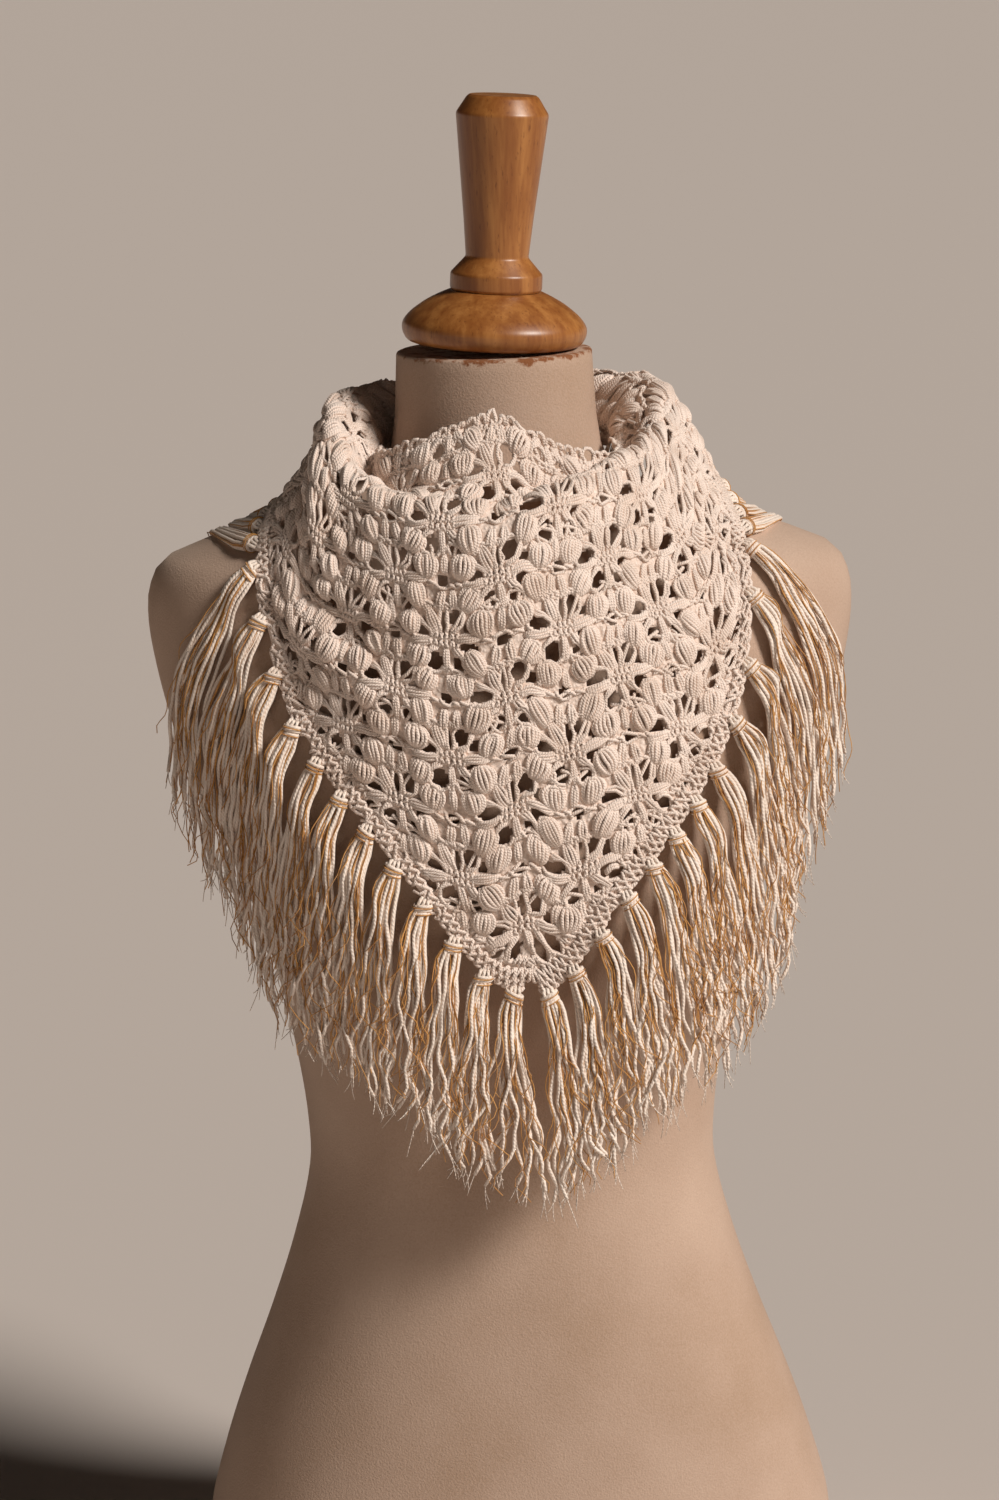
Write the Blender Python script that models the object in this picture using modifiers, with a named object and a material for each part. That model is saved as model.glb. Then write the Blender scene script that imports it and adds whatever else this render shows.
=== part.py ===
"""A crochet bandana with a tasselled edge, worn point down on a limbless dress form.

Metres, +Z up, the front towards -Y and the origin at the centre of the form's flat base.
Angles round the neck are counted from the front towards +X.
"""

import math

import bmesh
import bpy
import numpy as np
from mathutils import Matrix, Vector

# The bandana's cut: a right-angled triangle of square cells, its long edge round the neck
CELL = 0.008
CELLS_DEEP = 40
DEPTH = CELL * CELLS_DEEP
WALL = 0.0024
PUFF_WALL = 0.0056
SEAM_GAP = 0.0007

# The radius that the flat cloth is wound at: along the long edge, and from ROLL_DEPTH down
# at the front and, from SIDE_ACROSS outwards, at the sides
WIND_AT_EDGE = 0.0965
WIND_FRONT = 0.126
WIND_SIDE = 0.150
ROLL_DEPTH = 0.11
SIDE_ACROSS = 0.20
POINT_SWING = 0.095
LEAST_REACH = 0.085
CLOTH_CLEARANCE = 0.0016

# The stitch repeat, in cells: centres every 8 along a row, rows every 4, each row set over by 4
REPEAT_ACROSS = 8
REPEAT_DOWN = 4
FIRST_CENTRE_ROW = 4
# Columns right and rows down from a flower's centre
PUFFS = (
    (-2, -3),
    (2, -3),
    (-1, 3),
    (1, 3),
)
GAPS = (
    (0, -2),
    (-2, -1),
    (1, 0),
    (-1, 1),
)

# Name, first column and last column of each stretch of the cloth
STRETCHES = (
    ("cloth_end_left", -40, -26),
    ("cloth_wrap_left", -26, -16),
    ("cloth_front", -16, 16),
    ("cloth_wrap_right", 16, 26),
    ("cloth_end_right", 26, 40),
)

# The drape, a row for each angle in degrees, with the distance from the axis and the height
# of the long edge, the dip inside the collar, the crest, the middle of the fall and the hem
# angle, edge_r, edge_z, dip_r, dip_z, crest_r, crest_z, fall_r, fall_z, hem_r, hem_z
DRAPE = (
    (-194, 0.0700, 0.7160, 0.0735, 0.7045, 0.0775, 0.6930, 0.0840, 0.6790, 0.0900, 0.6640),
    (-168, 0.0700, 0.7120, 0.0725, 0.7090, 0.0775, 0.7020, 0.0860, 0.6860, 0.0950, 0.6660),
    (-150, 0.0690, 0.7020, 0.0715, 0.7110, 0.0785, 0.7150, 0.0900, 0.6980, 0.1040, 0.6700),
    (-120, 0.0670, 0.6900, 0.0700, 0.7030, 0.0850, 0.7190, 0.0970, 0.6940, 0.1100, 0.6680),
    (-90, 0.0670, 0.6900, 0.0710, 0.7050, 0.0870, 0.7195, 0.0985, 0.6920, 0.1165, 0.6650),
    (-78, 0.0675, 0.6905, 0.0730, 0.6990, 0.0920, 0.7150, 0.1070, 0.6840, 0.1245, 0.6620),
    (-66, 0.0690, 0.6920, 0.0790, 0.6840, 0.0990, 0.7070, 0.1185, 0.6710, 0.1390, 0.6435),
    (-58, 0.0740, 0.6930, 0.0840, 0.6760, 0.1030, 0.6970, 0.1270, 0.6560, 0.1460, 0.6070),
    (-49, 0.0810, 0.6940, 0.0880, 0.6720, 0.1070, 0.6850, 0.1320, 0.6260, 0.1460, 0.5620),
    (-28, 0.0790, 0.7045, 0.0920, 0.6760, 0.1130, 0.6690, 0.1310, 0.5800, 0.1370, 0.4960),
    (-10, 0.0760, 0.7130, 0.0940, 0.6790, 0.1170, 0.6570, 0.1295, 0.5450, 0.1295, 0.4390),
    (0, 0.0750, 0.7160, 0.0940, 0.6760, 0.1190, 0.6530, 0.1295, 0.5340, 0.1285, 0.4190),
    (12, 0.0765, 0.7085, 0.0910, 0.6720, 0.1130, 0.6690, 0.1295, 0.5380, 0.1300, 0.4215),
    (28, 0.0790, 0.6960, 0.0895, 0.6700, 0.1040, 0.6820, 0.1320, 0.5760, 0.1400, 0.4720),
    (49, 0.0830, 0.6915, 0.0890, 0.6760, 0.0990, 0.6920, 0.1330, 0.6190, 0.1500, 0.5370),
    (58, 0.0780, 0.6915, 0.0860, 0.6780, 0.0975, 0.6970, 0.1275, 0.6450, 0.1535, 0.5850),
    (66, 0.0700, 0.6920, 0.0800, 0.6840, 0.0960, 0.7020, 0.1190, 0.6680, 0.1415, 0.6395),
    (78, 0.0680, 0.6920, 0.0740, 0.6960, 0.0940, 0.7120, 0.1110, 0.6840, 0.1265, 0.6625),
    (90, 0.0670, 0.6920, 0.0710, 0.7060, 0.0925, 0.7210, 0.1085, 0.6985, 0.1205, 0.6720),
    (120, 0.0670, 0.6900, 0.0700, 0.7040, 0.0860, 0.7230, 0.1000, 0.6970, 0.1130, 0.6700),
    (150, 0.0690, 0.7020, 0.0720, 0.7110, 0.0800, 0.7160, 0.0930, 0.6990, 0.1060, 0.6710),
    (166, 0.0755, 0.7120, 0.0780, 0.7090, 0.0830, 0.7020, 0.0915, 0.6860, 0.1005, 0.6660),
    (194, 0.0760, 0.7160, 0.0795, 0.7045, 0.0835, 0.6930, 0.0900, 0.6790, 0.0960, 0.6640),
)

# Soft folds laid over the drape: the place of each end as an angle in degrees and a depth
# below the long edge, then its half width and its height, negative for a trough
# angle_a, depth_a, angle_b, depth_b, half_width, height
FOLDS = (
    (-59, 0.140, -28, 0.168, 0.011, 0.0050),
    (-54, 0.116, -29, 0.149, 0.009, -0.0040),
    (-62, 0.055, -46, 0.120, 0.010, 0.0040),
    (-76, 0.060, -66, 0.105, 0.009, -0.0030),
    (60, 0.090, 40, 0.180, 0.014, 0.0030),
    (52, 0.075, 30, 0.150, 0.011, -0.0025),
    (74, 0.060, 64, 0.120, 0.010, 0.0030),
    (18, 0.030, 34, 0.050, 0.010, -0.0030),
    (-24, 0.030, -40, 0.050, 0.009, -0.0025),
    (-100, 0.030, -96, 0.075, 0.009, 0.0030),
    (112, 0.030, 108, 0.070, 0.009, 0.0030),
    (-128, 0.025, -124, 0.050, 0.008, 0.0025),
    (134, 0.025, 130, 0.050, 0.008, 0.0025),
)

# Edging and tassels
EDGING_WIDTH = 0.0075
EDGING_WALL = 0.0032
EDGING_GAP = 0.0010
TIP_STATIONS = (0.25, 0.6)
TASSELS_A_SIDE = 20
FIRST_TASSEL = 0.003
TASSEL_PITCH = 0.0211
STRANDS = 5
STRAND_RADIUS = 0.0011
STRAND_CLEARANCE = 0.0044
BUNCH = 0.80
FRONT_LENGTH = 0.110
SIDE_LENGTH = 0.158
LONG_FROM = 10
LENGTH_SPREAD = 0.08
# How many degrees outwards the strands swing, and over what length of their fall: those in
# front of the shoulder's ridge fall down the chest, and those past it fall down the back
PARTING = 70
CHEST_SWING_LENGTH = 0.080
BACK_SWING_LENGTH = 0.018
# knot_angle, swing
CHEST_SWING = (
    (0, 2.5),
    (30, 5.5),
    (50, 7.5),
    (62, 8.5),
    (74, 10.0),
)
# knot_angle, swing
BACK_SWING = (
    (70, 27.0),
    (90, 24.0),
    (120, 15.0),
    (150, 5.0),
    (180, 0.0),
)
FIRST_LEAN = math.radians(50)
LEAN_STEP = math.radians(8)
STEEPEST_CLIMB = math.radians(120)
CLIMB_STEP = math.radians(3)
ROOT_OUT = 0.0045
ROOT_LIFT = 0.0030
KNOT_RADIUS = 0.0036
KNOT_DEPTH = 0.0046
KNOT_SIDES = 10
KNOT_GAP = 0.0005
MARCH_STEP = 0.004
STRAND_TOLERANCE = 0.0028

# The dress form, a row for each height, with the half width at the side, the depth to the
# front and to the back, and how square the section is
# height, half_width, front, back, squareness
FORM = (
    (0.000, 0.181, 0.112, 0.124, 2.3),
    (0.012, 0.184, 0.114, 0.127, 2.3),
    (0.060, 0.183, 0.113, 0.127, 2.3),
    (0.100, 0.173, 0.110, 0.123, 2.3),
    (0.140, 0.1595, 0.106, 0.116, 2.3),
    (0.184, 0.143, 0.101, 0.104, 2.25),
    (0.227, 0.1287, 0.097, 0.093, 2.2),
    (0.272, 0.1180, 0.093, 0.084, 2.2),
    (0.305, 0.1184, 0.095, 0.085, 2.2),
    (0.345, 0.1240, 0.101, 0.089, 2.2),
    (0.385, 0.1320, 0.111, 0.093, 2.2),
    (0.425, 0.1440, 0.123, 0.097, 2.2),
    (0.460, 0.1570, 0.1275, 0.101, 2.2),
    (0.500, 0.1760, 0.1240, 0.105, 2.2),
    (0.540, 0.1890, 0.1170, 0.108, 2.2),
    (0.575, 0.1970, 0.1080, 0.106, 2.1),
    (0.600, 0.2000, 0.1000, 0.102, 2.0),
    (0.618, 0.1975, 0.0930, 0.097, 2.0),
    (0.632, 0.1870, 0.0860, 0.092, 2.0),
    (0.645, 0.1520, 0.0790, 0.086, 2.0),
    (0.657, 0.1160, 0.0730, 0.079, 2.0),
    (0.668, 0.0850, 0.0670, 0.072, 2.0),
    (0.680, 0.0650, 0.0600, 0.064, 2.0),
    (0.700, 0.0580, 0.0550, 0.057, 2.0),
    (0.725, 0.0560, 0.0530, 0.054, 2.0),
    (0.745, 0.0550, 0.0520, 0.053, 2.0),
)
FORM_SIDES = 28

# The turned wood, a row for each step of a profile: distance from its axis, then height
NECK_TOP = 0.745
WOOD_TILT = math.radians(3.4)
WOOD_SEAT = 0.0030
WOOD_STEPS = 24
CAP_PROFILE = (
    (0.0000, 0.0300),
    (0.0262, 0.0300),
    (0.0370, 0.0268),
    (0.0465, 0.0205),
    (0.0508, 0.0155),
    (0.0520, 0.0112),
    (0.0508, 0.0070),
    (0.0455, 0.0022),
    (0.0430, 0.0000),
    (0.0000, 0.0000),
)
HANDLE_PROFILE = (
    (0.0000, 0.1085),
    (0.0185, 0.1085),
    (0.0240, 0.1035),
    (0.0260, 0.0980),
    (0.0246, 0.0760),
    (0.0215, 0.0520),
    (0.0184, 0.0310),
    (0.0172, 0.0225),
    (0.0184, 0.0165),
    (0.0225, 0.0125),
    (0.0250, 0.0100),
    (0.0257, 0.0070),
    (0.0255, 0.0000),
    (0.0000, 0.0000),
)
FACE_GAP = 0.0003

# Colour, roughness and metallic value of each material
FINISHES = {
    "ecru_cotton": ((0.70, 0.58, 0.46), 0.90, 0.0),
    "cotton_fringe": ((0.76, 0.64, 0.51), 0.85, 0.0),
    "form_cover": ((0.50, 0.36, 0.26), 0.92, 0.0),
    "varnished_beech": ((0.43, 0.17, 0.05), 0.38, 0.0),
}


def clear_scene():
    """Removes every object that the startup scene holds."""
    for thing in list(bpy.data.objects):
        bpy.data.objects.remove(thing, do_unlink=True)


def make_collection(name):
    """A new collection in the scene."""
    made = bpy.data.collections.new(name)
    bpy.context.scene.collection.children.link(made)
    return made


def make_material(name, finish):
    """A Principled material with the finish's colour, roughness and metallic value."""
    colour, roughness, metallic = FINISHES[finish]
    material = bpy.data.materials.new(name)
    material.use_nodes = True
    shader = material.node_tree.nodes["Principled BSDF"]
    shader.inputs["Base Color"].default_value = (*colour, 1.0)
    shader.inputs["Roughness"].default_value = roughness
    shader.inputs["Metallic"].default_value = metallic
    material.diffuse_color = (*colour, 1.0)
    return material


def add_object(name, mesh, collection, finish):
    """An object of its own for a mesh, in the collection, with its own material."""
    thing = bpy.data.objects.new(name, mesh)
    collection.objects.link(thing)
    mesh.materials.append(make_material(name + "_finish", finish))
    return thing


def smooth_step(x):
    """0 below 0, 1 above 1 and a soft rise between."""
    x = min(max(x, 0.0), 1.0)
    return x * x * (3.0 - 2.0 * x)


def smooth_row(table, x):
    """A row of the table at x, on a smooth curve through its rows."""
    keys = table[:, 0]
    x = min(max(x, keys[0]), keys[-1])
    i = min(max(int(np.searchsorted(keys, x)) - 1, 0), len(keys) - 2)
    before, after = max(i - 1, 0), min(i + 2, len(keys) - 1)
    span = keys[i + 1] - keys[i]
    slope_a = (table[i + 1] - table[before]) / (keys[i + 1] - keys[before])
    slope_b = (table[after] - table[i]) / (keys[after] - keys[i])
    t = (x - keys[i]) / span
    return (
        (2 * t**3 - 3 * t**2 + 1) * table[i]
        + (t**3 - 2 * t**2 + t) * span * slope_a
        + (3 * t**2 - 2 * t**3) * table[i + 1]
        + (t**3 - t**2) * span * slope_b
    )


FORM_TABLE = np.array(FORM)
DRAPE_TABLE = np.array(DRAPE)
SLOPE_STEP = 0.002
STEEPEST = 4.0
CLEARING_STEPS = 40
CLEARING_LEAST = 0.00001


def form_radius(angle, height):
    """How far the form's surface lies from the axis at an angle and a height."""
    if height > NECK_TOP:
        return 0.0
    _, half_width, front, back, power = smooth_row(FORM_TABLE, height)
    across = abs(math.sin(angle)) / half_width
    along = abs(math.cos(angle)) / (front if math.cos(angle) > 0 else back)
    return (across**power + along**power) ** (-1.0 / power)


def place(angle, radius, height):
    """The point at an angle from the front, a distance from the axis and a height."""
    return Vector((radius * math.sin(angle), -radius * math.cos(angle), height))


def form_slope(angle, height):
    """How fast the form's surface draws out or in with the height."""
    above = form_radius(angle, height + SLOPE_STEP)
    below = form_radius(angle, height - SLOPE_STEP)
    return min(max((above - below) / (2 * SLOPE_STEP), -STEEPEST), STEEPEST)


def form_gap(angle, radius, height):
    """How far a point stands off the form, square to its surface."""
    slope = form_slope(angle, height)
    return (radius - form_radius(angle, height)) / math.sqrt(1.0 + slope * slope)


def clear_of_form(angle, radius, height, clearance):
    """The radius and height moved out square to the form until they clear it."""
    for _ in range(CLEARING_STEPS):
        short = clearance - form_gap(angle, radius, height)
        if short <= 0:
            break
        slope = form_slope(angle, height)
        size = math.sqrt(1.0 + slope * slope)
        radius += short / size + CLEARING_LEAST
        height -= short * slope / size
    return radius, height


def winding(across, depth):
    """The radius that a place of the flat cloth is wound at."""
    below = WIND_FRONT + (WIND_SIDE - WIND_FRONT) * smooth_step(abs(across) / SIDE_ACROSS)
    return WIND_AT_EDGE + (below - WIND_AT_EDGE) * smooth_step(depth / ROLL_DEPTH)


def angle_of(across, depth):
    """The angle round the neck of a point of the flat cloth."""
    return across / winding(across, depth) + POINT_SWING * (max(depth, 0.0) / DEPTH) ** 2


def reach_at(angle):
    """How far below the long edge the hem lies at an angle round the neck."""
    low, high = 0.0, DEPTH
    side = 1.0 if angle > POINT_SWING else -1.0
    for _ in range(30):
        middle = (low + high) / 2
        if side * (angle - angle_of(side * (DEPTH - middle), middle)) < 0:
            low = middle
        else:
            high = middle
    return max((low + high) / 2, LEAST_REACH)


def through(points, count):
    """Points on a smooth curve through the given ones, an equal number on each span."""
    table = np.array([(i, *p) for i, p in enumerate(points)], float)
    return [smooth_row(table, i / count)[1:] for i in range((len(points) - 1) * count + 1)]


class Profile:
    """The line that the cloth follows from its long edge to its hem at one angle."""

    def __init__(self, angle):
        row = smooth_row(DRAPE_TABLE, math.degrees(angle))[1:].reshape(5, 2)
        line = np.array(through(row, 8))
        steps = np.hypot(*np.diff(line, axis=0).T)
        self.run = np.concatenate([[0.0], np.cumsum(steps)])
        self.line = line
        self.reach = reach_at(angle)
        self.end = (line[-1] - line[-2]) / steps[-1]

    def at(self, depth):
        """The radius and height of the cloth this far below its long edge."""
        if depth > self.reach:
            return tuple(self.line[-1] + self.end * (depth - self.reach))
        along = max(depth, 0.0) / self.reach * self.run[-1]
        return tuple(np.interp(along, self.run, self.line[:, k]) for k in (0, 1))


def fold_height(angle, depth):
    """How far the soft folds lift the cloth at a place."""
    lift = 0.0
    here = np.array((angle * WIND_FRONT, depth))
    for angle_a, depth_a, angle_b, depth_b, half_width, height in FOLDS:
        a = np.array((math.radians(angle_a) * WIND_FRONT, depth_a))
        b = np.array((math.radians(angle_b) * WIND_FRONT, depth_b))
        t = float(np.clip(np.dot(here - a, b - a) / np.dot(b - a, b - a), 0.0, 1.0))
        away = float(np.linalg.norm(here - a - t * (b - a)))
        taper = 0.35 + 0.65 * math.sin(math.pi * t)
        lift += height * taper * math.exp(-((away / half_width) ** 2))
    return lift


def cloth_point(across, depth):
    """The place in the drape of a point of the flat cloth."""
    angle = angle_of(across, depth)
    profile = Profile(angle)
    radius, height = profile.at(depth)
    ahead, behind = profile.at(depth + SLOPE_STEP), profile.at(max(depth - SLOPE_STEP, 0.0))
    along = np.array(ahead) - np.array(behind)
    along /= max(float(np.linalg.norm(along)), 1e-9)
    lift = fold_height(angle, depth)
    radius -= lift * along[1]
    height += lift * along[0]
    radius, height = clear_of_form(angle, radius, height, CLOTH_CLEARANCE)
    return place(angle, radius, height)


def flower_centres():
    """The column and row of each flower's centre, in cells."""
    rows = range(FIRST_CENTRE_ROW, CELLS_DEEP, REPEAT_DOWN)
    for number, row in enumerate(rows):
        shift = REPEAT_DOWN * ((len(rows) - 1 - number) % 2)
        for column in range(-CELLS_DEEP + shift % REPEAT_ACROSS, CELLS_DEEP + 1):
            if (column - shift) % REPEAT_ACROSS == 0 and abs(column) + row <= CELLS_DEEP:
                yield column, row


def whole_cell(column, row):
    """Whether the cell from this column and row lies wholly inside the triangle."""
    outer = max(abs(column), abs(column + 1))
    return row >= 0 and outer + row + 1 <= CELLS_DEEP


def cell_ring(column, row):
    """The cell and the eight round it."""
    return [(column + i, row + j) for i in (-1, 0, 1) for j in (-1, 0, 1)]


def make_cloth(name, first, last, collection):
    """One stretch of the crochet: a wall with a plain inside, puffs outside and open gaps."""
    centres = list(flower_centres())
    raised = {(i + across, j + down) for i, j in centres for across, down in PUFFS}
    gaps = {(i + across, j + down) for i, j in centres for across, down in GAPS}
    gaps = {
        gap
        for gap in gaps
        if first < gap[0] < last - 1 and all(whole_cell(*cell) for cell in cell_ring(*gap))
    }
    built = bmesh.new()
    grid = {}
    for row in range(CELLS_DEEP + 1):
        for column in range(first, last + 1):
            if abs(column) + row > CELLS_DEEP:
                continue
            across = column * CELL
            across += SEAM_GAP / 2 if column == first and first > -CELLS_DEEP else 0.0
            across -= SEAM_GAP / 2 if column == last and last < CELLS_DEEP else 0.0
            grid[column, row] = built.verts.new(cloth_point(across, row * CELL))
    for column in range(first, last):
        for row in range(CELLS_DEEP):
            corners = [(column, row), (column, row + 1), (column + 1, row + 1), (column + 1, row)]
            corners = [grid[c] for c in corners if c in grid]
            if len(corners) >= 3 and (column, row) not in gaps:
                built.faces.new(corners)
    mesh = bpy.data.meshes.new(name)
    built.verts.index_update()
    kept = {v.index: spot for spot, v in grid.items()}
    built.to_mesh(mesh)
    built.free()
    mesh.shade_smooth()
    thing = add_object(name, mesh, collection, "ecru_cotton")
    group = thing.vertex_groups.new(name="wall")
    for index, spot in kept.items():
        inside = first < spot[0] < last and abs(spot[0]) + spot[1] < CELLS_DEEP - 1 and spot[1] > 0
        high = spot in raised and inside
        group.add([index], 1.0 if high else WALL / PUFF_WALL, "REPLACE")
    wall = thing.modifiers.new("wall", "SOLIDIFY")
    wall.thickness = PUFF_WALL
    wall.offset = 1.0
    wall.vertex_group = group.name
    return thing


def hem_point(side, from_point, out):
    """A point of the flat cloth, measured along a short side from its point and out past it."""
    step = 1.0 / math.sqrt(2.0)
    return side * (from_point + out) * step, DEPTH - from_point * step + out * step


def make_edging(name, side, collection):
    """The plain strip worked on along one short side."""
    built = bmesh.new()
    full = DEPTH * math.sqrt(2.0)
    rows = []
    for station in (0, *TIP_STATIONS, *range(1, CELLS_DEEP + 1)):
        pair = []
        for out in (EDGING_GAP, EDGING_GAP + EDGING_WIDTH):
            along = full * station / CELLS_DEEP if station else EDGING_GAP - out
            pair.append(built.verts.new(cloth_point(*hem_point(side, along, out))))
        rows.append(pair)
    for (a, b), (c, d) in zip(rows, rows[1:]):
        built.faces.new((a, b, d, c) if side > 0 else (a, c, d, b))
    mesh = bpy.data.meshes.new(name)
    built.to_mesh(mesh)
    built.free()
    mesh.shade_smooth()
    thing = add_object(name, mesh, collection, "ecru_cotton")
    wall = thing.modifiers.new("wall", "SOLIDIFY")
    wall.thickness = EDGING_WALL
    wall.offset = 1.0
    return thing


def simplified(points, tolerance):
    """The indices of the points that a line needs to stay within the tolerance of all."""
    first, last = 0, len(points) - 1
    if last < 2:
        return list(range(last + 1))
    line = (points[last] - points[first]).normalized()
    away = [(p - points[first]).cross(line).length for p in points]
    far = int(np.argmax(away))
    if away[far] <= tolerance:
        return [first, last]
    start = simplified(points[: far + 1], tolerance)
    return start[:-1] + [far + i for i in simplified(points[far:], tolerance)]


def swing_at(angle, chest, gone):
    """How far round a strand has swung outwards after this length of its fall."""
    angles, swings = np.array(CHEST_SWING if chest else BACK_SWING).T
    over = CHEST_SWING_LENGTH if chest else BACK_SWING_LENGTH
    swing = math.radians(float(np.interp(abs(math.degrees(angle)), angles, swings)))
    return math.copysign(swing * (1.0 - math.exp(-((gone / over) ** 2))), angle)


def fall_line(chest, angle, radius, height, length):
    """A strand's fall: down, or over the form where it bars, while it swings outwards."""
    line = [(angle, radius, height)]
    lean = FIRST_LEAN
    gone = 0.0
    while gone < length:
        gone += MARCH_STEP
        here = angle + swing_at(angle, chest, gone)
        lean = max(lean - LEAN_STEP, 0.0)
        turn = lean
        while turn < STEEPEST_CLIMB:
            there = (radius + MARCH_STEP * math.sin(turn), height - MARCH_STEP * math.cos(turn))
            if form_gap(here, *there) >= STRAND_CLEARANCE:
                break
            turn += CLIMB_STEP
        radius, height = there
        line.append((here, radius, height))
    kept = simplified([place(*point) for point in line], STRAND_TOLERANCE)
    return [line[i] for i in kept]


def hem_place(side, number, out):
    """The flat place at a tassel's number along a short side, whole or between two."""
    return hem_point(side, FIRST_TASSEL + TASSEL_PITCH * number, out)


def make_tassel(name, side, number, collection):
    """A knot at the edging with its strands, each in its own upright plane."""
    out = EDGING_GAP + EDGING_WIDTH
    edge = cloth_point(*hem_place(side, number, out))
    beyond = cloth_point(*hem_place(side, number, out + KNOT_RADIUS)) - edge
    beside = cloth_point(*hem_place(side, number + 0.15, out)) - edge
    normal = (beyond.cross(beside) * side).normalized()
    sideways = (beside * side).normalized()
    outward = sideways.cross(normal).normalized()
    centre = edge + outward * (KNOT_RADIUS + KNOT_GAP) + normal * (KNOT_DEPTH / 2 + KNOT_GAP)

    built = bmesh.new()
    bmesh.ops.create_cone(
        built,
        cap_ends=True,
        segments=KNOT_SIDES,
        radius1=KNOT_RADIUS,
        radius2=KNOT_RADIUS,
        depth=KNOT_DEPTH,
    )
    turn = Matrix((outward, sideways, normal)).transposed().to_4x4()
    bmesh.ops.transform(built, matrix=Matrix.Translation(centre) @ turn, verts=built.verts)

    here = angle_of(*hem_place(side, number, out))
    chest = abs(math.degrees(here)) < PARTING
    long = FRONT_LENGTH + (SIDE_LENGTH - FRONT_LENGTH) * smooth_step(number / LONG_FROM)
    tangent = Vector((math.cos(here), math.sin(here), 0.0)) * side
    walls = [face for face in built.faces if len(face.verts) == 4]
    walls.sort(key=lambda face: -(face.calc_center_median() - centre).dot(outward))
    walls = walls[:STRANDS]
    walls.sort(key=lambda face: (face.calc_center_median() - centre).dot(tangent))
    for count, wall in enumerate(walls):
        share = number + BUNCH * ((count + 0.5) / STRANDS - 0.5)
        flat = hem_place(side, share, out + 2 * KNOT_RADIUS + ROOT_OUT)
        start = cloth_point(*flat) + normal * ROOT_LIFT
        lane = math.atan2(start.x, -start.y)
        radius, height = clear_of_form(
            lane, math.hypot(start.x, start.y), start.z, STRAND_CLEARANCE
        )
        ragged = 1.0 + LENGTH_SPREAD * math.sin(2.3 * count + 1.7 * number + side)
        line = fall_line(chest, lane, radius, height, long * ragged)
        root = bmesh.ops.triangulate(built, faces=[wall])["faces"][0]
        add_strand(built, root, line)
    mesh = bpy.data.meshes.new(name)
    built.to_mesh(mesh)
    built.free()
    return add_object(name, mesh, collection, "cotton_fringe")


def add_strand(built, root, line):
    """Draws one three-sided strand out of a face of the knot along its fall."""
    face = root
    points = [root.calc_center_median()] + [place(*point) for point in line]
    for i in range(1, len(points)):
        angle = line[i - 1][0]
        sideways = Vector((math.cos(angle), math.sin(angle), 0.0))
        ahead = points[min(i + 1, len(points) - 1)] - points[i]
        back = points[i] - points[i - 1]
        along = (ahead.normalized() + back.normalized()).normalized()
        up = along.cross(sideways).normalized()
        across = up.cross(along).normalized()
        if i == 1:
            arm = face.verts[0].co - points[0]
            first = math.atan2(arm.dot(up), arm.dot(across))
        made = bmesh.ops.extrude_discrete_faces(built, faces=[face])["faces"][0]
        for j, corner in enumerate(made.verts):
            turn = first + j * 2 * math.pi / 3
            corner.co = points[i] + STRAND_RADIUS * (across * math.cos(turn) + up * math.sin(turn))
        face = made


def make_form(collection):
    """The torso, lofted through its sections, flat at the base and at the neck."""
    built = bmesh.new()
    rings = []
    for height, half_width, front, back, power in FORM:
        ring = []
        for i in range(FORM_SIDES):
            turn = 2 * math.pi * i / FORM_SIDES
            s, c = math.sin(turn), math.cos(turn)
            x = half_width * math.copysign(abs(s) ** (2 / power), s)
            y = -(front if c > 0 else back) * math.copysign(abs(c) ** (2 / power), c)
            ring.append(built.verts.new((x, y, height)))
        rings.append(ring)
    for low, high in zip(rings, rings[1:]):
        for i in range(FORM_SIDES):
            j = (i + 1) % FORM_SIDES
            built.faces.new((low[i], low[j], high[j], high[i]))
    built.faces.new(list(reversed(rings[0])))
    built.faces.new(rings[-1])
    mesh = bpy.data.meshes.new("dress_form")
    built.to_mesh(mesh)
    built.free()
    mesh.shade_smooth()
    mesh.set_sharp_from_angle(angle=math.radians(50))
    return add_object("dress_form", mesh, collection, "form_cover")


def make_turned(name, profile, location, collection):
    """A turned piece: its profile, read down the outside, spun round its own axis."""
    mesh = bpy.data.meshes.new(name)
    corners = [(radius, 0.0, height) for radius, height in profile]
    edges = [(i, i + 1) for i in range(len(corners) - 1)]
    mesh.from_pydata(corners, edges, [])
    thing = add_object(name, mesh, collection, "varnished_beech")
    spin = thing.modifiers.new("turned", "SCREW")
    spin.steps = WOOD_STEPS
    spin.render_steps = WOOD_STEPS
    spin.use_merge_vertices = True
    spin.merge_threshold = 0.00001
    spin.use_smooth_shade = True
    thing.rotation_euler = (0.0, WOOD_TILT, 0.0)
    thing.location = location
    return thing


def make_wood(collection):
    """The disc that caps the neck and the handle that stands on it, a little askew."""
    axis = Vector((math.sin(WOOD_TILT), 0.0, math.cos(WOOD_TILT)))
    foot = Vector((0.0, 0.0, NECK_TOP + WOOD_SEAT))
    make_turned("neck_cap", CAP_PROFILE, foot, collection)
    top = foot + axis * (CAP_PROFILE[0][1] + FACE_GAP)
    make_turned("handle", HANDLE_PROFILE, top, collection)


def main():
    clear_scene()
    parts = make_collection("fringed_bandana_on_dress_form")
    make_form(parts)
    make_wood(parts)
    for name, first, last in STRETCHES:
        make_cloth(name, first, last, parts)
    for word, side in (("left", -1), ("right", 1)):
        make_edging("edging_" + word, side, parts)
        for number in range(TASSELS_A_SIDE):
            make_tassel(f"tassel_{word}_{number + 1:02d}", side, number, parts)


main()
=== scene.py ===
import math
import random

import bpy
import numpy as np
from mathutils import Matrix, Vector


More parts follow.
